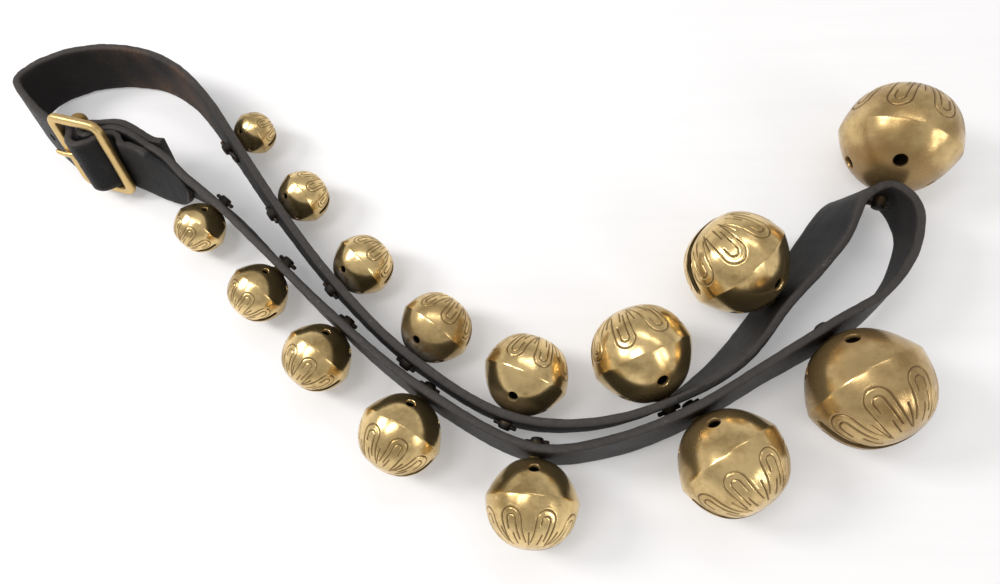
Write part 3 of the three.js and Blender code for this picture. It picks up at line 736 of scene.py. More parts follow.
def bell_skin(ridge, shank_end, seed, fine):
    """A fine grid of points on the bell's outer skin in metres, and each one's distance to a petal line."""
    lower = shank_rows(ridge, shank_end)
    mouth_arc = np.concatenate([[0.018], np.linspace(MOUTH_START, MOUTH_ARC[-1] - 0.045, 30)])
    upper = dome(1.0, MOUTH_SLOPE, 1, np.interp(mouth_arc, MOUTH_ARC, MOUTH_SHARE))
    rows = np.concatenate([lower, upper])
    arcs = np.concatenate([np.zeros(len(lower)), mouth_arc])

    # Fine rows between base rows, on the true outline where the petals are
    base = np.arange(len(rows))
    fine_rows = np.linspace(0, base[-1], base[-1] * fine + 1)
    fine_arc = np.interp(fine_rows, base, arcs)
    on_mouth = fine_arc >= MOUTH_START
    on_line = dome(1.0, MOUTH_SLOPE, 1, np.interp(fine_arc, MOUTH_ARC, MOUTH_SHARE))
    fine_r, fine_y = (
        np.where(on_mouth, on_line[:, k], np.interp(fine_rows, base, rows[:, k])) for k in (0, 1)
    )
    around = BELL_TURNS * fine
    angle = 2 * np.pi * np.arange(around) / around

    # Depth of the petal lines over the whole fine grid
    grid_angle, grid_arc = np.meshgrid(angle, fine_arc)
    grid_r = np.repeat(fine_r[:, None], around, axis=1)
    distance = petal_distance(grid_angle, grid_arc, grid_r, np.random.default_rng(seed))
    distance = np.where(grid_arc < 0.05, FAR, distance)
    width = line_width(ridge)
    cut = np.exp(-((distance / width) ** 2))
    lip = np.exp(-(((distance - 2.3 * width) / (0.9 * width)) ** 2))
    height = bpy.context.scene.bell_strap_sizes.engraving_depth * (0.16 * lip - cut)
    normal = unit(np.stack([np.gradient(fine_y), -np.gradient(fine_r)], axis=1))
    grid_r = grid_r + height * normal[:, :1]
    grid_y = fine_y[:, None] + height * normal[:, 1:]
    x, z = grid_r * np.sin(grid_angle), grid_r * np.cos(grid_angle)
    grid = np.stack([x, grid_y, z], axis=-1) * ridge
    dent = lumps(grid.reshape(-1, 3), 0.9 * ridge, seed).reshape(grid_r.shape)
    fade = smooth_step(0.02, 0.2, fine_arc) + smooth_step(0.03, 0.2, -fine_y) * (fine_y > -SHANK_DEPTH * 0.94)
    return grid * (1 + 0.0035 * dent * fade[:, None])[..., None], distance


def graded_faces(number, split, fine):
    """Faces on a grid of point numbers: base cells that are split are fine, and the cells beside them take
    the extra points into their edges."""
    count, turns = split.shape
    faces = []
    for j in range(count):
        for k in range(turns):
            low, left = j * fine, k * fine
            right = (left + fine) % number.shape[1]
            if split[j, k]:
                for v in range(fine):
                    row, above = number[low + v], number[low + v + 1]
                    for u in range(fine):
                        a, b = left + u, (left + u + 1) % number.shape[1]
                        faces.append((row[a], row[b], above[b], above[a]))
                continue
            face = [number[low, left]]
            if j and split[j - 1, k]:
                face += [number[low, left + u] for u in range(1, fine)]
            face.append(number[low, right])
            if split[j, (k + 1) % turns]:
                face += [number[low + v, right] for v in range(1, fine)]
            face.append(number[low + fine, right])
            if j + 1 < count and split[j + 1, k]:
                face += [number[low + fine, left + u] for u in range(fine - 1, 0, -1)]
            face.append(number[low + fine, left])
            if split[j, k - 1]:
                face += [number[low + v, left] for v in range(fine - 1, 0, -1)]
            faces.append(tuple(face))
    return faces


def bell_shell(ridge, shank_end, seed, fine):
    """The bell's outer skin in metres as points and faces, with finer faces along the petal lines."""
    grid, distance = bell_skin(ridge, shank_end, seed, fine)
    rows, around = distance.shape
    blocks = distance[:-1].reshape((rows - 1) // fine, fine, BELL_TURNS, fine).min(axis=(1, 3))
    split = blocks < 3.6 * line_width(ridge)
    split[-1] = False
    used = np.zeros(distance.shape, dtype=bool)
    used[::fine, ::fine] = True
    for j, k in zip(*np.nonzero(split)):
        columns = np.arange(k * fine, (k + 1) * fine + 1) % around
        used[j * fine : (j + 1) * fine + 1, columns] = True
    number = np.full(distance.shape, -1)
    number[used] = np.arange(used.sum())
    faces = graded_faces(number, split, fine)
    bottom, top = used.sum(), used.sum() + 1
    points = np.concatenate([grid[used], [(0, shank_end * ridge, 0), (0, ridge, 0)]])
    for k in range(0, around, fine):
        n = (k + fine) % around
        faces.append((bottom, number[0, n], number[0, k]))
        faces.append((top, number[-1, k], number[-1, n]))
    return points, faces


def bell_tools(ridge, pin_y):
    """What is cut from a bell: the hollow, the slot, the sound holes and the pin's eye."""
    sizes = bpy.context.scene.bell_strap_sizes
    wall = sizes.bell_wall
    low = dome(SHANK_DEPTH * ridge - wall, SHANK_SLOPE, -1, np.linspace(1, 0, 14), ridge - wall)
    high = dome(ridge - wall, MOUTH_SLOPE, 1, np.linspace(0, 1, 16), ridge - wall)
    hollow = turned(np.concatenate([low, high[1:]]), 72)

    past = 1.4 * ridge
    half = SLOT_HALF_WIDTH * ridge
    floor = SLOT_END * ridge + half
    arc = np.linspace(np.pi, 2 * np.pi, 17)
    outline = [(half * math.cos(a), floor + half * math.sin(a)) for a in arc]
    outline += [(half, past), (-half, past)]
    slot_points, slot_faces = prism(outline, 3 * ridge)
    slot_points = slot_points[:, [2, 1, 0]] * np.array((1, 1, -1))

    line = dome(SHANK_DEPTH, SHANK_SLOPE, -1, np.linspace(0, 1, 300))
    bearing = np.arctan2(line[:, 0], -line[:, 1])
    skin = np.linalg.norm(line[np.argmin(np.abs(bearing - SOUND_HOLE_ANGLE))]) * ridge
    hole = SOUND_HOLE * ridge
    bore = [(0, -past), (hole * 2.3, -past), (hole * 2.3, -skin - 0.075 * ridge)]
    bore += [(hole * 1.30, -skin - 0.004 * ridge), (hole * 1.08, -skin + 0.016 * ridge)]
    bore += [(hole, -skin + 0.05 * ridge), (hole, -0.4 * ridge), (0, -0.4 * ridge)]
    points, faces = turned(bore, 40)
    hole_points, hole_faces = [], []
    for k in range(4):
        matrix = Matrix.Rotation(k * math.pi / 2, 4, "Y") @ Matrix.Rotation(SOUND_HOLE_ANGLE, 4, "X")
        hole_faces += [tuple(c + k * len(points) for c in face) for face in faces]
        hole_points.append(placed(points, matrix))

    eye_points, eye_faces = rod(sizes.pin_diameter / 2 + PIN_CLEARANCE, EYE_REACH, 24)
    eye_points = placed(eye_points, Matrix.Translation((0, pin_y, 0)) @ Matrix.Rotation(math.pi / 2, 4, "Z"))
    return (
        hollow,
        (slot_points, slot_faces),
        (np.concatenate(hole_points), hole_faces),
        (eye_points, eye_faces),
    )


def bell_place(number):
    """The bell's matrix at rest and the place of its keeper pin on the mouth's axis."""
    swivel = JOINTS[f"bell_{number:02d}_swivel"]
    mouth = unit(np.array(swivel["axis"]))
    raised = np.array(JOINTS[f"pellet_{number:02d}_roll"]["axis"])
    raised = unit(raised - mouth * (raised @ mouth))
    middle = np.array(swivel["pos_m"])
    matrix = basis(np.cross(mouth, raised), mouth, raised, middle)
    corners = np.array(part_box(f"keeper_pin_{number:02d}"))
    pin_y = (corners.mean(axis=0) - middle) @ mouth
    return matrix, pin_y


class BELLSTRAP_OT_bells(bpy.types.Operator):
    """Cast the petal bells, each in one piece with its shank"""

    bl_idname = "bell_strap.bells"
    bl_label = "Petal bells"

    def execute(self, context):
        sizes = context.scene.bell_strap_sizes
        brass = material("bell brass", bell_finish)
        for number, diameter in enumerate(BELL_DIAMETERS, start=1):
            ridge = diameter / 2 * MM
            matrix, pin_y = bell_place(number)
            shank_end = pin_y - sizes.pin_diameter / 2 - PIN_CLEARANCE - EYE_WALL
            seed = sizes.seed * 100 + number
            fine = 3 if diameter < SMALL_BELL else 4
            points, faces = bell_shell(ridge, shank_end / ridge, seed, fine)
            bell = piece(f"petal_bell_{number:02d}", points, faces, brass)
            joined(bell, "DIFFERENCE", *[work_form(*form) for form in bell_tools(ridge, pin_y)])
            self.paint(bell, ridge, seed, number)
            bell.data.transform(Matrix(matrix.tolist()))
            shaded(bell, 40)
            dressed(bell, f"bell_{number:02d}", "bell_brass", f"bell_{number:02d}")
        return {"FINISHED"}

    def paint(self, bell, ridge, seed, number):
        """Masks: petal lines, brown tarnish that also paints shade by the strap, the inside with the shank
        painted near black as shade with some grime, and bloom.
        """
        points = mesh_points(bell.data) / ridge
        radius = np.hypot(points[:, 0], points[:, 2])
        y = points[:, 1]
        angle = np.arctan2(points[:, 0], points[:, 2])
        lower = dome(SHANK_DEPTH, SHANK_SLOPE, -1, np.linspace(1, 0, 300))
        outline = np.concatenate([lower, MOUTH_LINE[1:]])
        bearing = np.arctan2(outline[:, 1], outline[:, 0])
        skin = np.interp(np.arctan2(y, radius), bearing, np.hypot(outline[:, 0], outline[:, 1]))
        depth = skin - np.hypot(radius, y)
        # The hollow and the shank, to be painted near black as shade, with some grime on the shank
        inside = np.maximum(smooth_step(0.03, 0.075, depth), smooth_step(-0.03, -0.08, depth))
        along = np.interp(np.clip(y, 0, 1), MOUTH_LINE[:, 1], MOUTH_ARC)
        cut = petal_distance(angle, along, radius, np.random.default_rng(seed))
        width = line_width(ridge)
        groove = np.where((y > 0.03) & (depth < 0.04), np.exp(-((cut / (1.25 * width)) ** 2)), 0)
        near_strap = -y / SHANK_DEPTH
        # Tarnish all over and brown by the strap, both partly painted shade
        age_and_shade = TARNISH_AND_SHADE.get(number, 0) + BROWNING_AND_SHADE[number - 1] * smooth_step(0.30, 0.95, near_strap)
        bloom = BLOOM.get(number, 0.05) * smooth_step(0.45, 0.95, near_strap)
        painted(bell, groove, age_and_shade, inside, bloom)


class BELLSTRAP_OT_pellets(bpy.types.Operator):
    """Put an iron pellet in each bell"""

    bl_idname = "bell_strap.pellets"
    bl_label = "Pellets"

    def execute(self, context):
        iron = material("dark iron", iron_finish)
        for number, diameter in enumerate(BELL_DIAMETERS, start=1):
            corners = np.array(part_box(f"pellet_{number:02d}"))
            ball = PELLET_RADIUS * diameter / 2 * MM
            share = np.linspace(-np.pi / 2, np.pi / 2, 17)
            outline = [(ball * math.cos(a), ball * math.sin(a)) for a in share]
            points, faces = turned(outline, 32)
            points *= (1 + 0.015 * lumps(points, ball * 1.5, number))[:, None]
            pellet = piece(f"iron_pellet_{number:02d}", points + corners.mean(axis=0), faces, iron)
            shaded(outwards(pellet), 40)
            dressed(pellet, f"pellet_{number:02d}", "iron", f"pellet_{number:02d}")
        return {"FINISHED"}


# Stations along a keeper pin in half lengths, and its thickness there
PIN_STATIONS = np.array((-1, -0.985, -0.94, *np.linspace(-0.86, 0.86, 13), 0.94, 0.985, 1))
PIN_TAPER = np.interp(np.abs(PIN_STATIONS), (0.86, 0.94, 0.985, 1), (1, 0.95, 0.75, 0.45))


class BELLSTRAP_OT_keeper_pins(bpy.types.Operator):
    """Put an iron keeper pin through each shank"""

    bl_idname = "bell_strap.keeper_pins"
    bl_label = "Keeper pins"

    def execute(self, context):
        sizes = context.scene.bell_strap_sizes
        iron = material("dark iron", iron_finish)
        for number in range(1, len(BELL_DIAMETERS) + 1):
            matrix, pin_y = bell_place(number)
            height = pin_y - PIN_OFF_LEATHER
            bend = np.random.default_rng(sizes.seed + number).uniform(-0.25, 0.25) * MM
            path = np.array([(s * sizes.pin_length / 2, height, bend * s**2) for s in PIN_STATIONS])
            ring = round_section(sizes.pin_diameter, sizes.pin_diameter, 2.0, 16)
            sections = [ring * taper for taper in PIN_TAPER]
            points, faces = swept(path, (0, 1, 0), (0, 0, 1), sections)
            points += 0.06 * MM * lumps(points, 5 * MM, number)[:, None]
            pin = outwards(piece(f"iron_pin_{number:02d}", placed(points, matrix), faces, iron))
            if number == 1:
                points, faces = self.bent_eye((sizes.pin_length / 2, height, 0))
                joined(pin, "UNION", work_form(placed(points, matrix), faces, iron))
            shaded(pin, 50)
            dressed(pin, f"bell_{number:02d}", "iron", f"keeper_pin_{number:02d}")
        return {"FINISHED"}

    def bent_eye(self, pin_end):
        """The first pin's end, bent round to an eye that lies flat on the leather."""
        radius, beyond, wire = 3.4 * MM, 2.2 * MM, 2.4 * MM
        return hoop(np.add(pin_end, (beyond, 0, 0)), radius, round_section(wire, wire, 2.0, 12), 36)


# Buckle frame of reference: u along the strap, w across it, n outwards, in mm about the frame's middle

FRAME_LENGTH = 46.0
FRAME_HEIGHT = 66.0
FRAME_BAR = 7.0
FRAME_THICKNESS = 6.0
FRAME_CORNER = 9.0
MIDDLE_BAR = 6.0
MIDDLE_BAR_SET_BACK = 8.0
TONGUE_WIDTH = 5.0
TONGUE_RING_WALL = 2.2
TONGUE_CLEARANCE = 0.35
TONGUE_OVERHANG = 6.0
TONGUE_SLOT_CLEARANCE = 1.1  # each side of the tongue in the leather
BUCKLE_PLACE = (-316.5, 273.0)
BUCKLE_HEADING = math.radians(-20)  # from +X
BUCKLE_LEAN = math.radians(18)  # its front looks up
BUCKLE_PITCH = math.radians(6)  # the billet's side is raised
BUCKLE_SETTLE = 1.0  # below the sum of its extents, which no one point reaches
LAYER_GAP = 0.4
RIVET_DIAMETER = 4.0
RIVET_CLEARANCE = 0.3
RIVET_HEAD_DIAMETER = 9.0
RIVET_HEAD_HEIGHT = 1.0
RIVET_PLACE = 32.0
RIVET_SPREAD = STRAP_WIDTH - 20  # between the two
BILLET_REACH = 74.0
BILLET_SPREAD = 10  # degrees that the point leans further than the buckle
BILLET_DROP = 8.0
BILLET_LIFT = 5.0
BILLET_BULGE = 5.0
BILLET_BOW = ((-0.64, 0.42), (-0.26, 0.92), (0.14, 1.0), (0.52, 0.66))  # shares of the opening and the bulge
BILLET_PLAY = 0.3  # under the end bars
TURNED_BACK_LENGTH = 49.0
TURNED_BACK_FLARE = 0.5
STRAP_PLAY = 1.0  # between the strap's lower edge and the frame
STRAP_DROP = (FRAME_HEIGHT - STRAP_WIDTH) / 2 - FRAME_BAR - STRAP_PLAY
STRAP_SETTLE = 0.42  # slope at which the strap comes down between the end bar and the rivets


def buckle_axes():
    """The buckle's u, w and n directions and its middle, in mm."""
    level = np.array((math.cos(BUCKLE_HEADING), math.sin(BUCKLE_HEADING), 0))
    side_out = np.cross(level, UP)
    upright = UP * math.cos(BUCKLE_LEAN) - side_out * math.sin(BUCKLE_LEAN)
    u = level * math.cos(BUCKLE_PITCH) + upright * math.sin(BUCKLE_PITCH)
    w = upright * math.cos(BUCKLE_PITCH) - level * math.sin(BUCKLE_PITCH)
    n = np.cross(u, w)
    height = FRAME_HEIGHT / 2 * w[2] + (MIDDLE_BAR_SET_BACK + MIDDLE_BAR / 2) * n[2]
    height += (FRAME_LENGTH / 2 - FRAME_CORNER) * abs(u[2]) - BUCKLE_SETTLE
    return u, w, n, np.array((*BUCKLE_PLACE, height)) + SHIFT


U, W, N, BUCKLE = buckle_axes()


def buckle_points(places):
    """Points in metres from rows of u, w, n."""
    places = np.asarray(places, dtype=float)
    return (BUCKLE + places[:, :1] * U + places[:, 1:2] * W + places[:, 2:] * N) * MM


LAYER_STEP = LEATHER + LAYER_GAP
END_BAR = (FRAME_LENGTH - FRAME_BAR) / 2
FOLD = MIDDLE_BAR / 2 + LAYER_GAP + LEATHER / 2
UNDER_BAR = -(FRAME_THICKNESS / 2 + LAYER_GAP + LEATHER / 2)
OVER_FOLD = -MIDDLE_BAR_SET_BACK + FOLD + LAYER_STEP
SHOULDER = (OVER_FOLD + UNDER_BAR) / 2
BULGE_N = OVER_FOLD + BILLET_BULGE
BILLET_N = UNDER_BAR - BILLET_PLAY
MAIN_N = BILLET_N - LEATHER - RIVET_HEAD_HEIGHT - 2 * LAYER_GAP
BACK_N = MAIN_N - LAYER_STEP
BAR_IN = END_BAR - FRAME_BAR / 2
BAR_OUT = END_BAR + FRAME_BAR / 2
AFTER_RIVETS = RIVET_PLACE + RIVET_HEAD_DIAMETER / 2 + 1
TONGUE_HOLE = MIDDLE_BAR / 2 + TONGUE_CLEARANCE
TONGUE_RING = TONGUE_HOLE + TONGUE_RING_WALL

# Middle of each layer of leather at the buckle: u, n, extra lean in degrees, w
BILLET_LAYER = (
    (-BAR_OUT - 8, BILLET_N - 0.5, 0, 0),
    (-BAR_OUT, BILLET_N, 0, 0),
    (-BAR_IN, BILLET_N - 0.5, 0, 0),
    *((place * BAR_IN, share * BULGE_N + (1 - share) * BILLET_N, 0, 0) for place, share in BILLET_BOW),
    (BAR_IN, BILLET_N - 1, 0, 0),
    (BAR_OUT, BILLET_N, 0, 0),
    (AFTER_RIVETS, BILLET_N - 0.2, 0, 0),
    (
        (AFTER_RIVETS + BILLET_REACH) / 2,
        BILLET_N + 0.3 * BILLET_LIFT,
        BILLET_SPREAD / 2,
        -0.4 * BILLET_DROP,
    ),
    (BILLET_REACH, BILLET_N + BILLET_LIFT, BILLET_SPREAD, -BILLET_DROP),
)
MAIN_LAYER = (
    (BAR_IN / 2, SHOULDER - 1.4 * LAYER_STEP, 0, 0),
    (BAR_IN, MAIN_N, 0, 0),
    (AFTER_RIVETS, MAIN_N, 0, 0),
)
BACK_LAYER = (
    (TURNED_BACK_LENGTH, BACK_N - TURNED_BACK_FLARE, 0, 0),
    (AFTER_RIVETS, BACK_N, 0, 0),
    (BAR_IN, BACK_N, 0, 0),
    (BAR_IN / 2, (BACK_N - MIDDLE_BAR_SET_BACK - FOLD) / 2 - 0.6, 0, 0),
)
FOLD_LAYER = tuple(
    (-FOLD * math.cos(math.radians(a)), -MIDDLE_BAR_SET_BACK + FOLD * math.sin(math.radians(a)), 0, 0)
    for a in (-90, -45, 0, 45, 90, 130)
)


def layer_drop(u):
    """How far the strap sits below the middle of the buckle, in mm."""
    return STRAP_DROP + STRAP_SETTLE * max(0, min(u, AFTER_RIVETS) - BAR_IN)


def layer_stations(layer):
    """Points and width directions of a layer of leather at the buckle, in mm."""
    stations = []
    for u, n, lean, w in layer:
        turn = math.radians(lean)
        point = BUCKLE + u * U + (w - layer_drop(u)) * W + n * N
        stations.append((point, W * math.cos(turn) - N * math.sin(turn)))
    return stations


def rivet_middle(side):
    """Middle of the rivet on a side of the strap, as u, w, n."""
    return RIVET_PLACE, side * RIVET_SPREAD / 2 - layer_drop(RIVET_PLACE), (MAIN_N + BACK_N) / 2


def rest_height(radius, lean):
    """How high a bell's middle lies on the table when its mouth points up by lean, in mm."""
    share = np.linspace(0, 1, 9)
    line = np.concatenate(
        [dome(SHANK_DEPTH, SHANK_SLOPE, -1, share), dome(1.0, MOUTH_SLOPE, 1, share)]
    ) * radius
    return np.max(line[:, 0] * math.cos(lean) - line[:, 1] * math.sin(lean))


def route_point(x, y, lean, lift, bell):
    """The strap's middle at a station of the route, in mm."""
    lean = math.radians(lean)
    height = (STRAP_WIDTH * math.cos(lean) + LEATHER * abs(math.sin(lean))) / 2 + lift
    if bell:
        radius = BELL_DIAMETERS[bell - 1] / 2
        seat = SHANK_DEPTH * radius + LAYER_GAP + LEATHER / 2
        height = max(height, rest_height(radius, lean) - seat * math.sin(lean))
    return np.array((x, y, height)) + SHIFT


class StrapCurve:
    """The strap's middle line and width direction, by stations, in mm."""

    def __init__(self):
        front = layer_stations(BACK_LAYER) + layer_stations(FOLD_LAYER) + layer_stations(MAIN_LAYER)
        middle = [(route_point(*row), None) for row in ROUTE]
        stations = front + middle + layer_stations(BILLET_LAYER)
        points = np.array([s[0] for s in stations])
        self.ends = np.concatenate([[2 * points[0] - points[1]], points, [2 * points[-1] - points[-2]]])
        self.last = len(points) - 1
        self.bell_at = {row[4]: len(front) + k for k, row in enumerate(ROUTE) if row[4]}
        tangents = self.tangent(np.arange(self.last + 1))
        across = []
        for k, (_, given) in enumerate(stations):
            if given is None:
                along = tangents[k]
                square = unit(UP - along * (UP @ along))
                outward = np.cross(along, square)
                lean = math.radians(ROUTE[k - len(front)][2])
                given = square * math.cos(lean) - outward * math.sin(lean)
            across.append(given)
        self.across = np.array(across)
        self.steps = np.linspace(0, self.last, self.last * 40 + 1)
        self.lengths = lengths(self.point(self.steps))
        self.total = self.lengths[-1]

    def station(self, length):
        """Stations at lengths along the strap, in mm."""
        return np.interp(length, self.lengths, self.steps)

    def point(self, t):
        """Places on the centripetal curve at t stations."""
        t = np.clip(np.asarray(t, dtype=float), 0, self.last)
        i = np.minimum(t.astype(int), self.last - 1)
        f = (t - i)[:, None]
        p0, p1, p2, p3 = (self.ends[i + k] for k in range(4))
        pairs = ((p0, p1), (p1, p2), (p2, p3))
        d0, d1, d2 = (np.sqrt(np.linalg.norm(b - a, axis=1))[:, None] for a, b in pairs)
        t1 = ((p1 - p0) / d0 - (p2 - p0) / (d0 + d1) + (p2 - p1) / d1) * d1
        t2 = ((p2 - p1) / d1 - (p3 - p1) / (d1 + d2) + (p3 - p2) / d2) * d1
        return p1 + t1 * f + (3 * p2 - 3 * p1 - 2 * t1 - t2) * f**2 + (2 * p1 - 2 * p2 + t1 + t2) * f**3

    def tangent(self, t):
        """Directions along the curve at t stations."""
        t = np.asarray(t, dtype=float)
        return unit(self.point(t + 0.004) - self.point(t - 0.004))

    def frame(self, t):
        """Points, directions along and across the strap, and out of its outer face."""
        t = np.asarray(t, dtype=float)
        along = self.tangent(t)
        i = np.minimum(t.astype(int), self.last - 1)
        f = (t - i)[:, None]
        a0, a1, a2, a3 = (self.across[np.clip(i + k, 0, self.last)] for k in (-1, 0, 1, 2))
        curl = 2 * a0 - 5 * a1 + 4 * a2 - a3 + f * (3 * a1 - 3 * a2 + a3 - a0)
        across = a1 + f / 2 * (a2 - a0 + f * curl)
        across = unit(across - along * np.sum(across * along, axis=1, keepdims=True))
        return self.point(t), along, across, np.cross(along, across)


# Strap, in mm

ROW_STEP = 1.5  # between rows of points along it
TIP_LENGTH = 42.0
TIP_END_WIDTH = 5.0
TIP_FINE = 6.0  # where the rows are closer
NICKS = 26  # in each long edge
SHANK_CLEARANCE = 0.35
SPARE_HOLE_RADIUS = 3.0
HOLE_PITCH = 26.0
SPARE_HOLES = (-1, 1, 2, 3)  # in pitches from the tongue's hole


class BELLSTRAP_OT_strap(bpy.types.Operator):
    """Cut the leather strap, turn its end back and punch its holes"""

    bl_idname = "bell_strap.strap"
    bl_label = "Leather strap"

    def execute(self, context):
        sizes = context.scene.bell_strap_sizes
        curve = StrapCurve()
        even = np.linspace(0, curve.total, int(curve.total / ROW_STEP))
        near_tip = curve.total - np.linspace(0, TIP_FINE, 14) ** 2 / TIP_FINE
        rows = np.unique(curve.station(np.concatenate([even, near_tip])))
        places = np.interp(rows, curve.steps, curve.lengths)
        into = np.clip((places - (curve.total - TIP_LENGTH)) / TIP_LENGTH, 0, 1)
        full = sizes.strap_width / MM - TIP_END_WIDTH
        half_width = (TIP_END_WIDTH + full * np.sqrt(np.maximum(0, 1 - into**2))) / 2
        points, faces = self.body(sizes, curve, rows, places, half_width)
        leather = material("black leather", leather_finish)
        strap = outwards(piece("leather_strap", points * MM, faces, leather))
        joined(strap, "DIFFERENCE", *[work_form(*form) for form in self.tools(curve)])
        self.paint(strap, curve, rows, places, half_width)
        shaded(strap, 48)
        dressed(strap, "strap", "leather", "strap")
        return {"FINISHED"}

    def body(self, sizes, curve, rows, places, half_width):
        """The leather before its holes are cut, as points in mm and faces."""
        point, _, across, out = curve.frame(rows)
        section = self.section(sizes)
        rng = np.random.default_rng(sizes.seed)
        half, corner = sizes.strap_width / MM / 2, sizes.strap_edge / MM
        rough = {side: self.edge_wear(places, rng) for side in (1, -1)}
        points = np.empty((len(rows), len(section), 3))
        for k, (w, n) in enumerate(section):
            side = 1 if w > 0 else -1
            share = w / half
            at_edge = abs(w) > half - corner * 1.01
            reach = side * (half_width - half) + w if at_edge else share * half_width
            reach = reach + side * rough[side] * smooth_step(0.75, 1.0, abs(share))
            cup = 0.06 * np.sin(places / 61 + 1.7) * (1 - share**2)
            points[:, k] = point + across * reach[:, None] + out * (n + cup * np.sign(n))[:, None]
        points = points.reshape(-1, 3)
        swell = 0.10 * lumps(points, 17, sizes.seed) + 0.06 * lumps(points, 5, sizes.seed + 1)
        points += swell[:, None] * np.repeat(out, len(section), axis=0)
        return points, tube_faces(len(rows), len(section))

    def section(self, sizes):
        """Outline of the strap across its width in mm, with rounded edges."""
        half, deep = sizes.strap_width / MM / 2, sizes.strap_thickness / MM / 2
        corner = sizes.strap_edge / MM
        flat, level = half - corner, deep - corner
        bend = np.radians(np.linspace(0, 90, 5)[1:-1])
        points = [(w, deep) for w in np.linspace(-flat, flat, 15)]
        points += [(flat + corner * math.sin(a), level + corner * math.cos(a)) for a in bend]
        points += [(half, level), (half, 0), (half, -level)]
        points += [(flat + corner * math.cos(a), -level - corner * math.sin(a)) for a in bend]
        return points + [(-w, -n) for w, n in points]

    def edge_wear(self, places, rng):
        """How far a long edge stands out or is nicked along the strap, in mm."""
        wear = np.zeros(len(places))
        for wave, size in ((70, 0.18), (23, 0.14), (9, 0.10), (4.2, 0.07)):
            wear += size * np.sin(2 * np.pi * places / wave + rng.uniform(0, 6.28))
        for _ in range(NICKS):
            depth = rng.uniform(0.15, 0.55)
            away = places - rng.uniform(40, places[-1] - 60)
            wear -= depth * np.exp(-((away / rng.uniform(1.2, 3.5)) ** 2))
        return wear - 0.1

    def tools(self, curve):
        """Cutters for the shank holes, the spare holes, the rivet holes and the tongue's room."""
        tools = []
        shank_hole = SHANK_RADIUS / MM + SHANK_CLEARANCE
        for number, station in curve.bell_at.items():
            matrix, _ = bell_place(number)
            point, _, across, _ = (v[0] for v in curve.frame([station]))
            mouth = matrix[:3, 1]
            start = matrix[:3, 3] - mouth * mouth.dot(matrix[:3, 3] - point * MM)
            tools.append(self.punch(start, np.cross(mouth, across), mouth, shank_hole))
        tongue_hole = curve.total - BILLET_REACH - END_BAR / 2
        for step in SPARE_HOLES:
            place = curve.station(tongue_hole - HOLE_PITCH * step)
            point, along, _, out = (v[0] for v in curve.frame([place]))
            tools.append(self.punch(point * MM, along, out, SPARE_HOLE_RADIUS))
        rivet_hole = RIVET_DIAMETER / 2 + RIVET_CLEARANCE
        for side in (-1, 1):
            start = buckle_points([rivet_middle(side)])[0]
            tools.append(self.punch(start, U, N, rivet_hole, LAYER_STEP + 0.15))
        behind = -MIDDLE_BAR_SET_BACK - FOLD - LEATHER
        between = OVER_FOLD - LAYER_STEP / 2
        fold = [
            (-FOLD - LEATHER, behind),
            (TONGUE_RING + 2, behind - LAYER_STEP / 2),
            (TONGUE_RING + 2, (SHOULDER - LAYER_STEP / 2 + between) / 2 - 0.6),
            (0, between),
            (-FOLD - LEATHER, between),
        ]
        front = BULGE_N + LEATHER
        billet = [(-BAR_IN, UNDER_BAR - LEATHER), (-3, between), (-3, front), (-BAR_IN, front)]
        for outline in (fold, billet):
            points, faces = prism(outline, TONGUE_WIDTH + 2 * TONGUE_SLOT_CLEARANCE)
            tools.append((buckle_points(points[:, [0, 2, 1]]), faces))
        return tools

    def punch(self, middle, along, through, radius, reach=7.0):
        """A round cutter through the leather, with its radius and reach in mm."""
        points, faces = rod(radius * MM, reach * MM, 36)
        through = unit(np.array(through))
        along = unit(along - through * np.dot(along, through))
        return placed(points, basis(np.cross(through, along), through, along, middle)), faces

    def paint(self, strap, curve, rows, places, half_width):
        """Masks: worn edges, the brown stain, the flesh side and marks where the bells press."""
        point, _, across, out = curve.frame(rows)
        points = mesh_points(strap.data) / MM
        nearest = np.empty(len(points), dtype=int)
        tree = KDTree(len(point))
        for k, p in enumerate(point):
            tree.insert(Vector(p), k)
        tree.balance()
        for k, p in enumerate(points):
            nearest[k] = tree.find(Vector(p))[1]
        offset = points - point[nearest]
        w = np.sum(offset * across[nearest], axis=1)
        n = np.sum(offset * out[nearest], axis=1)
        share = np.abs(w) / np.maximum(half_width[nearest], 1)
        place = places[nearest]
        end = smooth_step(3.0, 0.0, curve.total - place) + smooth_step(3.0, 0.0, place)
        edge = np.clip(smooth_step(0.88, 0.985, share) + end, 0, 1)
        flesh = smooth_step(0.5, -1.5, n)
        from_bell = place - np.interp(curve.bell_at[1], rows, places)
        rust = flesh * smooth_step(12, 60, from_bell) * smooth_step(150, 95, from_bell)
        rust *= 0.55 + 0.45 * lumps(points, 30, 4)
        press = np.zeros(len(points))
        for number, station in curve.bell_at.items():
            middle = point[np.argmin(np.abs(rows - station))]
            reach = np.linalg.norm(points - middle, axis=1)
            press = np.maximum(press, smooth_step(0.34, 0.16, reach / BELL_DIAMETERS[number - 1]) * (n > 0))
        painted(strap, edge, np.clip(rust, 0, 1), flesh, press)


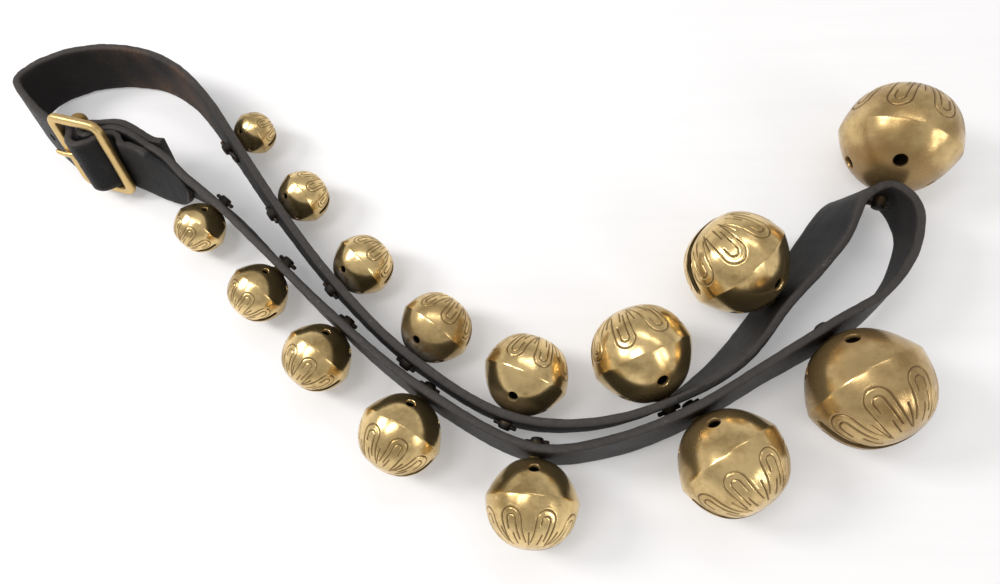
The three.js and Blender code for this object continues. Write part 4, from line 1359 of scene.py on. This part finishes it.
class BELLSTRAP_OT_buckle(bpy.types.Operator):
    """Cast the buckle's frame with its set-back middle bar"""

    bl_idname = "bell_strap.buckle"
    bl_label = "Buckle frame"

    def execute(self, context):
        brass = material("buckle brass", buckle_finish)
        frame_piece = outwards(piece("buckle_frame_cast", *self.ring(), brass))
        joined(frame_piece, "UNION", work_form(*self.middle_bar(), brass))
        n = (mesh_points(frame_piece.data) / MM - BUCKLE) @ N
        # Masks: the back, darkened as grime and painted shade, and the front, lightened as wear and painted
        # light
        painted(frame_piece, smooth_step(1.0, -6.0, n), smooth_step(1.2, 2.8, n))
        shaded(frame_piece, 45)
        dressed(frame_piece, "strap", "buckle_brass", "buckle_frame")
        return {"FINISHED"}

    def ring(self):
        """The frame's four bars as one rounded bar run round a rounded rectangle."""
        length, height = FRAME_LENGTH - FRAME_BAR, FRAME_HEIGHT - FRAME_BAR
        corner = FRAME_CORNER - FRAME_BAR / 2
        path, side = [], []
        for k, signs in enumerate(((1, 1), (-1, 1), (-1, -1), (1, -1))):
            centre = np.array(signs) * (length / 2 - corner, height / 2 - corner)
            for a in np.radians(90 * k + np.linspace(0, 90, 11)):
                path.append(centre + corner * np.array((math.cos(a), math.sin(a))))
                side.append((math.cos(a), math.sin(a)))
        path, side = np.array(path), np.array(side)
        fine_path, fine_side = [], []
        for k in range(len(path)):
            following = (k + 1) % len(path)
            steps = max(1, int(np.linalg.norm(path[following] - path[k]) / 3))
            for s in np.arange(steps) / steps:
                fine_path.append(path[k] * (1 - s) + path[following] * s)
                fine_side.append(side[k] * (1 - s) + side[following] * s)
        path = np.pad(np.array(fine_path), ((0, 0), (0, 1)))
        side = np.pad(unit(np.array(fine_side)), ((0, 0), (0, 1)))
        sections = [
            round_section(FRAME_BAR * (0.96 + 0.03 * f), FRAME_THICKNESS * (0.97 + 0.02 * f), 2.7, 24)
            for f in lumps(path, 26, 3)
        ]
        points, faces = swept(path, side, (0, 0, 1), sections, closed=True)
        return buckle_points(points), faces

    def middle_bar(self):
        """The middle bar, bent back behind the frame and joined to its long sides."""
        end = (FRAME_HEIGHT - FRAME_BAR) / 2
        bend = 4.5
        path = [(0, end, 0.5), (0, end, -MIDDLE_BAR_SET_BACK + bend)]
        for a in np.radians(np.linspace(15, 90, 6)):
            height = end - bend + bend * math.cos(a)
            path.append((0, height, -MIDDLE_BAR_SET_BACK + bend - bend * math.sin(a)))
        path += [(0, w, -MIDDLE_BAR_SET_BACK) for w in np.linspace(end - bend - 4, 0, 8)]
        path = np.array(path + [(x, -y, z) for x, y, z in path[-2::-1]])
        side = (1.0, 0.0, 0.0)
        front = np.cross(unit(np.gradient(path, axis=0)), side)
        swell = 1 + 0.25 * smooth_step(end - 8, end, np.abs(path[:, 1]))
        sections = [round_section(MIDDLE_BAR * s, MIDDLE_BAR, 2.0, 24) for s in swell]
        points, faces = swept(path, side, front, sections)
        return buckle_points(points), faces


class BELLSTRAP_OT_tongue(bpy.types.Operator):
    """Bend the buckle's tongue round the middle bar"""

    bl_idname = "bell_strap.tongue"
    bl_label = "Buckle tongue"

    def execute(self, context):
        brass = material("buckle brass", buckle_finish)
        wall = round_section(TONGUE_RING - TONGUE_HOLE, TONGUE_WIDTH, 3.0, 20)
        points, faces = hoop((0, 0, -MIDDLE_BAR_SET_BACK), (TONGUE_HOLE + TONGUE_RING) / 2, wall, 40)
        tongue = outwards(piece("buckle_tongue_bent", buckle_points(points), faces, brass))
        points, faces = self.arm()
        joined(tongue, "UNION", work_form(buckle_points(points), faces, brass))
        n = (mesh_points(tongue.data) / MM - BUCKLE) @ N
        # Masks: the back, darkened as grime and painted shade, and the top of the arm, lightened as wear and
        # painted light
        painted(tongue, smooth_step(0, -9, n), smooth_step(3.6, 5.2, n))
        shaded(tongue, 45)
        dressed(tongue, "buckle_tongue", "buckle_brass", "buckle_tongue")
        return {"FINISHED"}

    def arm(self):
        """The tongue's bar from its ring over the end bar, thinner and narrower to its tip."""
        root = -MIDDLE_BAR_SET_BACK + 0.80 * TONGUE_RING
        over = FRAME_THICKNESS / 2 + TONGUE_CLEARANCE
        tip = BAR_OUT + TONGUE_OVERHANG
        knots = np.array((
            (-0.40 * TONGUE_RING, root),
            (-11.0, root + 3.2),
            (-BAR_IN + 3.0, over + 1.3),
            (-END_BAR, over + 1.75),
            (-tip + 2.2, over + 1.1),
            (-tip, over - 0.1),
        ))
        share = lengths(knots)
        steps = np.linspace(0, share[-1], 42)
        path = np.stack([np.interp(steps, share, knots[:, k]) for k in (0, 1)], axis=1)
        for _ in range(3):
            path[1:-1] = (path[:-2] + 2 * path[1:-1] + path[2:]) / 4
        path = np.insert(path, 1, 0, axis=1)
        side = (0.0, 1.0, 0.0)
        front = np.cross(unit(np.gradient(path, axis=0)), side)
        front *= np.sign(front[:, 2:])
        into = steps / steps[-1]
        wide = TONGUE_WIDTH - 1.5 * smooth_step(0.1, 0.95, into)
        thick = 3.3 - 0.5 * smooth_step(0.3, 0.95, into)
        close = np.sqrt(np.maximum(0.05, 1 - smooth_step(0.94, 1.0, into) ** 2 * 0.9))
        sections = [round_section(a * c, b * c, 2.4, 20) for a, b, c in zip(wide, thick, close)]
        return swept(path, side, front, sections)


class BELLSTRAP_OT_rivets(bpy.types.Operator):
    """Set the two rivets through the turned-back end"""

    bl_idname = "bell_strap.rivets"
    bl_label = "Chape rivets"

    def execute(self, context):
        copper = material("dull copper", copper_finish)
        head, shaft, seat = RIVET_HEAD_DIAMETER / 2, RIVET_DIAMETER / 2, LAYER_STEP
        end = seat + RIVET_HEAD_HEIGHT
        outline = [(0, -end), (shaft - 0.1, -end), (shaft + 0.3, -end + 0.35), (shaft + 0.3, -seat - 0.65)]
        outline += [(head - 0.1, -seat - 0.55), (head, -seat - 0.3), (head - 0.1, -seat)]
        outline += [(shaft, -seat), (shaft, seat)]
        for a in np.radians((0, 20, 45, 70)):
            outline.append((head * math.cos(a), seat + RIVET_HEAD_HEIGHT * math.sin(a)))
        points, faces = turned(outline + [(0, end)], 32)
        for k, side in enumerate((-1, 1), start=1):
            places = points[:, [0, 2, 1]] + np.array(rivet_middle(side))
            rivet = outwards(piece(f"copper_rivet_{k}", buckle_points(places), faces, copper))
            shaded(rivet, 40)
            dressed(rivet, "strap", "copper", f"chape_rivet_{k}")
        return {"FINISHED"}


# Stage, in metres

TABLE_HALF = 9.0
DAYLIGHT = (1.0, 0.99, 0.98)
LOW_DAYLIGHT = (1.0, 0.985, 0.97)

# Lamps that look at the middle of the table: name, place, size, power, colour
LAMPS = (
    ("window", (-1.45, 0.25, 1.35), (0.5, 0.6), 19.0, DAYLIGHT),
    ("skylight", (-0.60, -0.15, 1.70), (0.42, 0.8), 8.0, DAYLIGHT),
    ("ceiling_strip", (0.35, 0.9, 1.75), (1.5, 0.16), 4.0, DAYLIGHT),
    ("side_window_left", (1.36, -1.25, 1.05), (0.17, 0.8), 3.0, LOW_DAYLIGHT),
    ("side_window_right", (1.58, -0.93, 1.05), (0.17, 0.8), 3.0, LOW_DAYLIGHT),
)

# The room's colours from the horizon at 0 to straight overhead at 1
ROOM = (
    (0.0, (0.92, 0.92, 0.925, 1)),
    (0.10, (0.84, 0.838, 0.84, 1)),
    (0.38, (0.44, 0.432, 0.425, 1)),
    (0.75, (0.56, 0.552, 0.545, 1)),
    (1.0, (0.64, 0.632, 0.625, 1)),
)

# The camera stands over the route's origin and is fitted to the photo
CAMERA_HEIGHT = 494.0  # in mm
CAMERA_TILT = math.radians(19.6159)  # about X, from straight down
CAMERA_LEAN = math.radians(3.51845)  # about Y
FOCAL_LENGTH = 27.576  # in mm, like the next
SENSOR_WIDTH = 36.0


class BELLSTRAP_OT_stage(bpy.types.Operator):
    """Lay the white table, hang the lamps and set the camera"""

    bl_idname = "bell_strap.stage"
    bl_label = "Table, light and camera"

    def execute(self, context):
        scene = context.scene
        scene.view_settings.view_transform = "Standard"
        corners = [(x * TABLE_HALF, y * TABLE_HALF, 0) for x, y in ((-1, -1), (1, -1), (1, 1), (-1, 1))]
        table = piece("table_top", corners, [(0, 1, 2, 3)], material("white table", table_finish))
        self.room(scene)
        for lamp in LAMPS:
            self.lamp(scene, *lamp)
        self.camera(scene)
        return {"FINISHED"}

    def room(self, scene):
        """A plain room round the table: pale near the horizon, darker overhead."""
        world = bpy.data.worlds.new("room")
        scene.world = world
        shader = Shader(world)
        way = shader.node("ShaderNodeTexCoord", output="Generated")
        height = shader.node("ShaderNodeSeparateXYZ", None, {"Vector": way}, output="Z")
        ramp = shader.node("ShaderNodeValToRGB", {"stops": ROOM}, {"Fac": height})
        light = shader.node("ShaderNodeBackground", None, {"Color": ramp, "Strength": 1.0})
        shader.node("ShaderNodeOutputWorld", None, {"Surface": light})

    def lamp(self, scene, name, place, size, power, colour):
        """A soft rectangular lamp."""
        light = bpy.data.lights.new(name, "AREA")
        light.shape = "RECTANGLE"
        light.size, light.size_y = size
        light.energy = power
        light.color = colour
        lamp = bpy.data.objects.new(name, light)
        scene.collection.objects.link(lamp)
        lamp.location = place
        lamp.rotation_euler = (-Vector(place)).to_track_quat("-Z", "Y").to_euler()

    def camera(self, scene):
        """The camera where the photo's stood."""
        lens = bpy.data.cameras.new("photo_camera")
        lens.lens = FOCAL_LENGTH
        lens.sensor_width = SENSOR_WIDTH
        lens.sensor_fit = "HORIZONTAL"
        lens.clip_start = 0.01
        camera = bpy.data.objects.new("photo_camera", lens)
        scene.collection.objects.link(camera)
        place = Matrix.Translation((SHIFT + CAMERA_HEIGHT * UP) * MM)
        turn = Matrix.Rotation(CAMERA_LEAN, 4, "Y") @ Matrix.Rotation(CAMERA_TILT, 4, "X")
        camera.matrix_world = place @ turn
        scene.camera = camera


OPERATORS = (
    BELLSTRAP_OT_strap,
    BELLSTRAP_OT_bells,
    BELLSTRAP_OT_pellets,
    BELLSTRAP_OT_keeper_pins,
    BELLSTRAP_OT_buckle,
    BELLSTRAP_OT_tongue,
    BELLSTRAP_OT_rivets,
    BELLSTRAP_OT_stage,
)


class BELLSTRAP_PT_panel(bpy.types.Panel):
    """Lists the pieces of the bell strap"""

    bl_idname = "BELLSTRAP_PT_panel"
    bl_label = "Sleigh bell strap"
    bl_space_type = "VIEW_3D"
    bl_region_type = "UI"
    bl_category = "Bell strap"

    def draw(self, context):
        for group in (context.scene.bell_strap_sizes, context.scene.bell_strap_finish):
            for name in group.bl_rna.properties.keys():
                if name not in ("rna_type", "name"):
                    self.layout.prop(group, name)
        for operator in OPERATORS:
            self.layout.operator(operator.bl_idname)


CLASSES = (BellStrapSizes, BellStrapFinish, *OPERATORS, BELLSTRAP_PT_panel)


def register():
    for cls in CLASSES:
        bpy.utils.register_class(cls)
    bpy.types.Scene.bell_strap_sizes = bpy.props.PointerProperty(type=BellStrapSizes)
    bpy.types.Scene.bell_strap_finish = bpy.props.PointerProperty(type=BellStrapFinish)


def unregister():
    del bpy.types.Scene.bell_strap_finish
    del bpy.types.Scene.bell_strap_sizes
    for cls in reversed(CLASSES):
        bpy.utils.unregister_class(cls)


def main():
    register()
    bpy.ops.bell_strap.strap()
    bpy.ops.bell_strap.bells()
    bpy.ops.bell_strap.pellets()
    bpy.ops.bell_strap.keeper_pins()
    bpy.ops.bell_strap.buckle()
    bpy.ops.bell_strap.tongue()
    bpy.ops.bell_strap.rivets()
    bpy.ops.bell_strap.stage()


if __name__ == "__main__":
    main()
